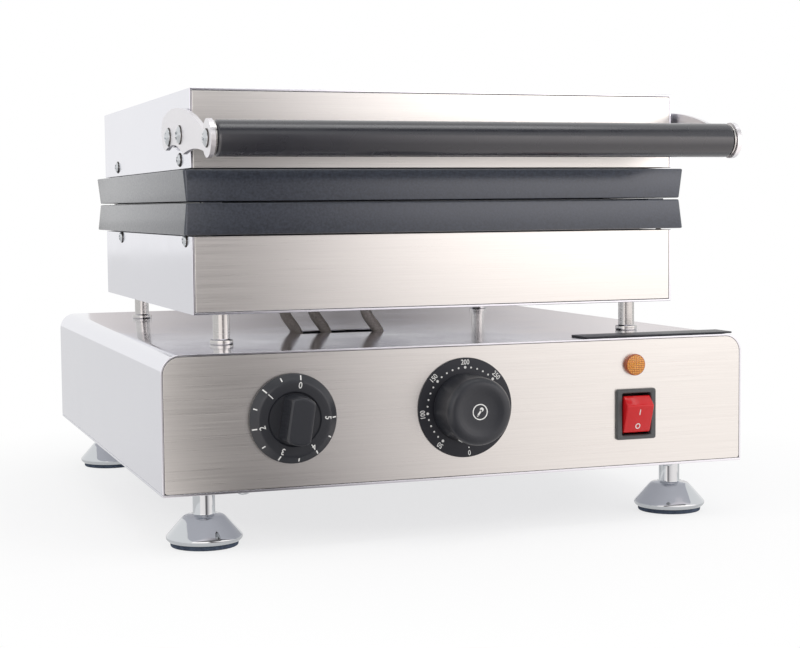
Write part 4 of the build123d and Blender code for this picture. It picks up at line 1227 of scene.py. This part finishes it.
def make_inside():
    """Gives each packed inner part the finish of its material."""
    for node, finish in INNER.items():
        obj = frame["nodes"][node]
        if obj.material_slots:
            obj.material_slots[0].material = stock()[finish]
        else:
            obj.data.materials.append(stock()[finish])


# Stage: floor, light and camera, with sizes in metres

def floor_paper(colour):
    """White paper sweep: keeps the shadow near the machine and goes to plain white away from it."""
    material, tree, shader = surface("White paper sweep", colour, 0.9, Specular_IOR_Level=0.1)
    place = add_node(tree, "ShaderNodeTexCoord")
    length = add_node(tree, "ShaderNodeVectorMath", {"operation": "LENGTH"}, None,
                      {0: place.outputs["Object"]})
    far = add_node(tree, "ShaderNodeMapRange", None,
                   {"From Min": 0.14, "From Max": 0.42, "To Min": 0.66, "To Max": 1.0},
                   {"Value": length.outputs["Value"]})
    path = add_node(tree, "ShaderNodeLightPath")
    seen = add_node(tree, "ShaderNodeMath", {"operation": "ADD", "use_clamp": True}, None,
                    {0: path.outputs["Is Camera Ray"], 1: path.outputs["Is Glossy Ray"]})
    amount = add_node(tree, "ShaderNodeMath", {"operation": "MULTIPLY"}, None,
                      {0: far.outputs["Result"], 1: seen.outputs["Value"]})
    strength = add_node(tree, "ShaderNodeMapRange", None, {"To Min": 0.78, "To Max": 1.0},
                        {"Value": path.outputs["Is Camera Ray"]})
    white = add_node(tree, "ShaderNodeEmission", None, {"Color": (1, 1, 1, 1)},
                     {"Strength": strength.outputs["Result"]})
    mixed = add_node(tree, "ShaderNodeMixShader", None, None,
                     {0: amount.outputs["Value"], 1: shader.outputs["BSDF"], 2: white.outputs["Emission"]})
    tree.links.new(mixed.outputs["Shader"], tree.nodes["Material Output"].inputs["Surface"])
    wear_pattern(tree, shader, grain(tree, (2.0, 2.0, 2.0)), relief=0.02)
    return material


# Across the screen in front as (x, level): dark at the left of the panels, brighter to the right.
FRONT_STOPS = ((-0.32, 1.0), (-0.164, 0.95), (-0.11, 0.06), (-0.05, 0.24), (0.016, 0.56), (0.1, 0.84),
               (0.244, 1.0))
# Upwards its level grows by this much.
FRONT_GAIN = 2.07
# Across the screen behind, which the box's top mirrors.
BACK_STOPS = ((-0.1, 0.72), (0.015, 0.46), (0.1, 0.3), (0.165, 0.2), (0.2325, 0.27), (0.37, 0.6), (0.5, 0.8))
# The light of both is a little warm: red, green and blue for a level.
SCREEN_GREEN, SCREEN_BLUE, SCREEN_BLUE_LOSS = 0.948, 0.98, 0.055


def screen_shade(name, stops, low, high):
    """Screen that only shows in reflections: its light goes by stops across, times low to high upwards."""
    material, tree = new_material(name)
    place = add_node(tree, "ShaderNodeTexCoord")
    parts = add_node(tree, "ShaderNodeSeparateXYZ", None, None, {"Vector": place.outputs["Object"]})
    left, right = stops[0][0], stops[-1][0]
    across = add_node(tree, "ShaderNodeMapRange", None, {"From Min": left, "From Max": right},
                      {"Value": parts.outputs["X"]})
    ramp = add_node(tree, "ShaderNodeValToRGB", None, None, {0: across.outputs["Result"]})
    while len(ramp.color_ramp.elements) < len(stops):
        ramp.color_ramp.elements.new(0.5)
    for element, (at, share) in zip(ramp.color_ramp.elements, stops):
        element.position = (at - left) / (right - left)
        element.color = (share, share * SCREEN_GREEN, share * (SCREEN_BLUE - SCREEN_BLUE_LOSS * share), 1.0)
    upward = add_node(tree, "ShaderNodeMapRange", None,
                      {"From Min": 0.08, "From Max": 0.3, "To Min": low, "To Max": high},
                      {"Value": parts.outputs["Z"]})
    glow = add_node(tree, "ShaderNodeEmission", None, None,
                    {"Color": ramp.outputs["Color"], "Strength": upward.outputs["Result"]})
    tree.links.new(glow.outputs["Emission"], tree.nodes["Material Output"].inputs["Surface"])
    return material


def card_shade(strength):
    """Grey card that only shows in reflections: plain light of its own."""
    material, tree = new_material("Grey reflection card")
    glow = add_node(tree, "ShaderNodeEmission", None, {"Color": (1, 1, 1, 1), "Strength": strength})
    tree.links.new(glow.outputs["Emission"], tree.nodes["Material Output"].inputs["Surface"])
    return material


def flat_object(name, first, last, material):
    """A stage plane between two opposite corners: it lies level or stands square to the y axis."""
    (x0, y0, z0), (x1, y1, z1) = first, last
    mesh = bpy.data.meshes.new(name)
    mesh.from_pydata([(x0, y0, z0), (x1, y0, z0), (x1, y1, z1), (x0, y1, z1)], [], [(0, 1, 2, 3)])
    mesh.materials.append(material)
    obj = linked(name, mesh)
    return obj


# Softboxes are aimed at the middle of the machine.
TARGET = Vector((0.0, 0.0, 0.13))


def softbox(name, azimuth, elevation, distance, size, power, mirrored=False):
    """Area lamp aimed at the machine. Azimuth turns from straight in front towards the right."""
    a, e = math.radians(azimuth), math.radians(elevation)
    away = Vector((math.sin(a) * math.cos(e), -math.cos(a) * math.cos(e), math.sin(e)))
    lamp = bpy.data.lights.new(name, "AREA")
    lamp.shape = "RECTANGLE"
    lamp.size, lamp.size_y = size
    lamp.energy = power
    obj = linked(name, lamp)
    obj.location = TARGET + away * distance
    obj.rotation_euler = away.to_track_quat("Z", "Y").to_euler()
    obj.visible_camera = False
    obj.visible_glossy = mirrored


def set_world(looks):
    """Plain light from all round: a level for the pieces, one in reflections, and white for the camera."""
    world = bpy.data.worlds.new("Plain studio")
    world.use_nodes = True
    tree = world.node_tree
    path = add_node(tree, "ShaderNodeLightPath")
    mirrored = add_node(tree, "ShaderNodeMapRange", None,
                        {"To Min": looks.world_level, "To Max": looks.mirror_level},
                        {"Value": path.outputs["Is Glossy Ray"]})
    strength = add_node(tree, "ShaderNodeMapRange", None, {"To Max": 1.0},
                        {"Value": path.outputs["Is Camera Ray"], "To Min": mirrored.outputs["Result"]})
    back = tree.nodes["Background"]
    back.inputs["Color"].default_value = (1, 1, 1, 1)
    tree.links.new(strength.outputs["Result"], back.inputs["Strength"])
    bpy.context.scene.world = world
    bpy.context.scene.view_settings.view_transform = "Standard"


FLOOR_REACH = 6.0
# Just under the pads, so that the two faces don't fight.
FLOOR_LEVEL = -0.0002
SCREEN_LEFT, SCREEN_RIGHT = -0.5, 0.9
SCREEN_Y, SCREEN_TOP, APRON_BACK = -0.43, 0.32, -0.19
CEILING_LEVEL = 2.3


def make_stage():
    """White paper floor, plain world, three softboxes, two shaded screens, a grey ceiling and the camera.

    The screens and the ceiling only show in reflections: one screen close in front for the panels, one behind
    for the box's top.
    """
    looks = bpy.context.scene.ball_maker
    flat_object("paper_floor", (-FLOOR_REACH, -FLOOR_REACH, FLOOR_LEVEL),
                (FLOOR_REACH, FLOOR_REACH, FLOOR_LEVEL), floor_paper((*looks.paper_colour, 1.0)))
    front = screen_shade("Shaded screen in front", FRONT_STOPS, looks.screen_level,
                         looks.screen_level * FRONT_GAIN)
    back = screen_shade("Shaded screen behind", BACK_STOPS, 1.0, 1.0)
    cards = (
        flat_object("front_screen", (SCREEN_LEFT, SCREEN_Y, 0.0), (SCREEN_RIGHT, SCREEN_Y, SCREEN_TOP),
                    front),
        flat_object("front_apron", (SCREEN_LEFT, SCREEN_Y, 0.0), (SCREEN_RIGHT, APRON_BACK, 0.0), front),
        flat_object("grey_ceiling", (-1.6, -2.2, CEILING_LEVEL), (1.6, -0.65, CEILING_LEVEL),
                    card_shade(looks.ceiling_shade)),
        flat_object("rear_screen", (0.9, 0.6, 0.1), (-0.1, 0.6, 0.22), back),
    )
    for card in cards:
        card.visible_camera = False
        card.visible_diffuse = False
        card.visible_shadow = False
    softbox("right_softbox", 52.0, 24.0, 2.2, (1.9, 1.7), looks.right_power)
    softbox("left_softbox", -75.0, 35.0, 2.2, (1.4, 1.2), looks.left_power)
    softbox("top_softbox", 10.0, 72.0, 1.7, (1.6, 0.7), looks.top_power, mirrored=True)
    set_world(looks)
    place_camera()


# The camera of the picture, as fitted to the machine's straight edges: place, angles in degrees and lens.
CAMERA_PLACE = (-0.3537, -1.07585, 0.1926)
HEADING_DEGREES, PITCH_DEGREES, ROLL_DEGREES = 19.278, 4.201, -0.530
LENS_MM, SENSOR_MM = 74.86, 36.0
LENS_SHIFT = 0.0052


def place_camera():
    """Sets the camera by its heading, its pitch downwards and its roll."""
    heading, pitch, roll = (math.radians(v) for v in (HEADING_DEGREES, PITCH_DEGREES, ROLL_DEGREES))
    forward = Vector((math.sin(heading) * math.cos(pitch), math.cos(heading) * math.cos(pitch),
                      -math.sin(pitch)))
    across = Vector((math.cos(heading), -math.sin(heading), 0.0))
    above = across.cross(forward)
    right = math.cos(roll) * across + math.sin(roll) * above
    up = -math.sin(roll) * across + math.cos(roll) * above
    data = bpy.data.cameras.new("picture_camera")
    data.lens = LENS_MM
    data.sensor_width = SENSOR_MM
    data.shift_y = LENS_SHIFT
    camera = linked("picture_camera", data)
    turn = Matrix((right, up, -forward)).transposed().to_4x4()
    camera.matrix_world = Matrix.Translation(CAMERA_PLACE) @ turn
    bpy.context.scene.camera = camera


# Sizes and colours that a user would change

COLOUR = {"subtype": "COLOR", "size": 3, "min": 0.0, "max": 1.0}


class BallMakerLooks(bpy.types.PropertyGroup):
    """Sizes, colours and light levels of the visible pieces."""

    steel_colour: FloatVectorProperty(
        name="Panel steel", description="Colour of the brushed panels",
        default=linear("#dfddda")[:3], **COLOUR)
    side_colour: FloatVectorProperty(
        name="Side steel", description="Colour of the plain sides and tops",
        default=linear("#e4e4eb")[:3], **COLOUR)
    grip_colour: FloatVectorProperty(
        name="Grip", description="Colour of the grip",
        default=linear("#1d1e27")[:3], **COLOUR)
    knob_colour: FloatVectorProperty(
        name="Knobs", description="Colour of the dial and the knob",
        default=linear("#282a30")[:3], **COLOUR)
    rocker_colour: FloatVectorProperty(
        name="Rocker", description="Colour of the rocker",
        default=linear("#ce191f")[:3], **COLOUR)
    lamp_colour: FloatVectorProperty(
        name="Lamp", description="Colour of the lens cells",
        default=linear("#f18927")[:3], **COLOUR)
    paper_colour: FloatVectorProperty(
        name="Paper", description="Colour of the floor",
        default=linear("#f7f7f8")[:3], **COLOUR)
    number_height: FloatProperty(
        name="Dial numbers", description="Height of the timer's numbers in millimetres",
        default=3.6, min=1.0, max=8.0)
    scale_height: FloatProperty(
        name="Scale numbers", description="Height of the thermostat's numbers in millimetres",
        default=2.9, min=1.0, max=6.0)
    cavity_radius: FloatProperty(
        name="Ball radius", description="Radius of a cavity in millimetres",
        default=19.0, min=5.0, max=19.0)
    stem_radius: FloatProperty(
        name="Stem radius", description="Radius of a foot's stem in millimetres",
        default=6.4, min=2.0, max=8.0)
    screw_radius: FloatProperty(
        name="Screw radius", description="Radius of the housings' screw heads in millimetres",
        default=3.6, min=1.0, max=6.0)
    world_level: FloatProperty(
        name="World", description="Plain light from all round",
        default=0.62, min=0.0, max=2.0)
    mirror_level: FloatProperty(
        name="Mirrored world", description="Brightness of the surroundings in reflections",
        default=0.97, min=0.0, max=2.0)
    right_power: FloatProperty(
        name="Right softbox", description="Power of the large softbox at the right",
        default=14.0, min=0.0, subtype="POWER")
    left_power: FloatProperty(
        name="Left softbox", description="Power of the softbox at the left",
        default=5.0, min=0.0, subtype="POWER")
    top_power: FloatProperty(
        name="Top softbox", description="Power of the softbox overhead",
        default=7.0, min=0.0, subtype="POWER")
    screen_level: FloatProperty(
        name="Screen", description="Brightness of the front reflection screen near the floor",
        default=1.22, min=0.0, max=3.0)
    ceiling_shade: FloatProperty(
        name="Ceiling", description="Brightness of the grey ceiling in reflections",
        default=0.15, min=0.0, max=1.0)


class BALLMAKER_OT_box(bpy.types.Operator):
    """Make the control box's sheets, the thin plate on its edge and the cable gland."""

    bl_idname = "ballmaker.box"
    bl_label = "Control box"

    def execute(self, context):
        make_box()
        make_gland()
        return {"FINISHED"}


class BALLMAKER_OT_supports(bpy.types.Operator):
    """Make the feet, the posts and the leads between the box and the lower housing."""

    bl_idname = "ballmaker.supports"
    bl_label = "Feet, posts and leads"

    def execute(self, context):
        make_feet()
        make_posts()
        make_leads()
        return {"FINISHED"}


class BALLMAKER_OT_timer(bpy.types.Operator):
    """Make the timer dial with its grip bar and print."""

    bl_idname = "ballmaker.timer"
    bl_label = "Timer dial"

    def execute(self, context):
        make_timer()
        return {"FINISHED"}


class BALLMAKER_OT_thermostat(bpy.types.Operator):
    """Make the thermostat's scale disc and knob."""

    bl_idname = "ballmaker.thermostat"
    bl_label = "Thermostat"

    def execute(self, context):
        make_scale()
        make_knob()
        return {"FINISHED"}


class BALLMAKER_OT_switch(bpy.types.Operator):
    """Make the pilot lamp, the switch frame and the rocker."""

    bl_idname = "ballmaker.switch"
    bl_label = "Lamp and switch"

    def execute(self, context):
        make_lamp()
        make_switch()
        return {"FINISHED"}


class BALLMAKER_OT_housings(bpy.types.Operator):
    """Make the folded sheets of the lower housing and the lid."""

    bl_idname = "ballmaker.housings"
    bl_label = "Housings"

    def execute(self, context):
        make_housings()
        return {"FINISHED"}


class BALLMAKER_OT_plates(bpy.types.Operator):
    """Make both cast plates with their cavities."""

    bl_idname = "ballmaker.plates"
    bl_label = "Cast plates"

    def execute(self, context):
        make_plates()
        return {"FINISHED"}


class BALLMAKER_OT_hinge(bpy.types.Operator):
    """Make the hinge leaves and pins."""

    bl_idname = "ballmaker.hinge"
    bl_label = "Hinge"

    def execute(self, context):
        make_hinge()
        return {"FINISHED"}


class BALLMAKER_OT_handle(bpy.types.Operator):
    """Make the grip, its brackets and all the screws."""

    bl_idname = "ballmaker.handle"
    bl_label = "Handle and screws"

    def execute(self, context):
        make_handle()
        make_screws()
        return {"FINISHED"}


class BALLMAKER_OT_inside(bpy.types.Operator):
    """Give the inner parts their finishes."""

    bl_idname = "ballmaker.inside"
    bl_label = "Inner parts"

    def execute(self, context):
        make_inside()
        return {"FINISHED"}


class BALLMAKER_OT_stage(bpy.types.Operator):
    """Set the floor, the light and the camera."""

    bl_idname = "ballmaker.stage"
    bl_label = "Stage"

    def execute(self, context):
        make_stage()
        return {"FINISHED"}


STEPS = (
    BALLMAKER_OT_box, BALLMAKER_OT_supports, BALLMAKER_OT_timer, BALLMAKER_OT_thermostat, BALLMAKER_OT_switch,
    BALLMAKER_OT_housings, BALLMAKER_OT_plates, BALLMAKER_OT_hinge, BALLMAKER_OT_handle, BALLMAKER_OT_inside,
    BALLMAKER_OT_stage,
)


class BALLMAKER_PT_panel(bpy.types.Panel):
    """Lists every piece group and the values behind them."""

    bl_label = "Ball maker"
    bl_space_type = "VIEW_3D"
    bl_region_type = "UI"
    bl_category = "Ball maker"

    def draw(self, context):
        for step in STEPS:
            self.layout.operator(step.bl_idname)
        looks = context.scene.ball_maker
        for name in BallMakerLooks.__annotations__:
            self.layout.prop(looks, name)


CLASSES = (BallMakerLooks,) + STEPS + (BALLMAKER_PT_panel,)


def register():
    for kind in CLASSES:
        bpy.utils.register_class(kind)
    bpy.types.Scene.ball_maker = PointerProperty(type=BallMakerLooks)


def unregister():
    del bpy.types.Scene.ball_maker
    for kind in reversed(CLASSES):
        bpy.utils.unregister_class(kind)


def main():
    register()
    for step in STEPS:
        group, name = step.bl_idname.split(".")
        getattr(getattr(bpy.ops, group), name)()


if __name__ == "__main__":
    main()
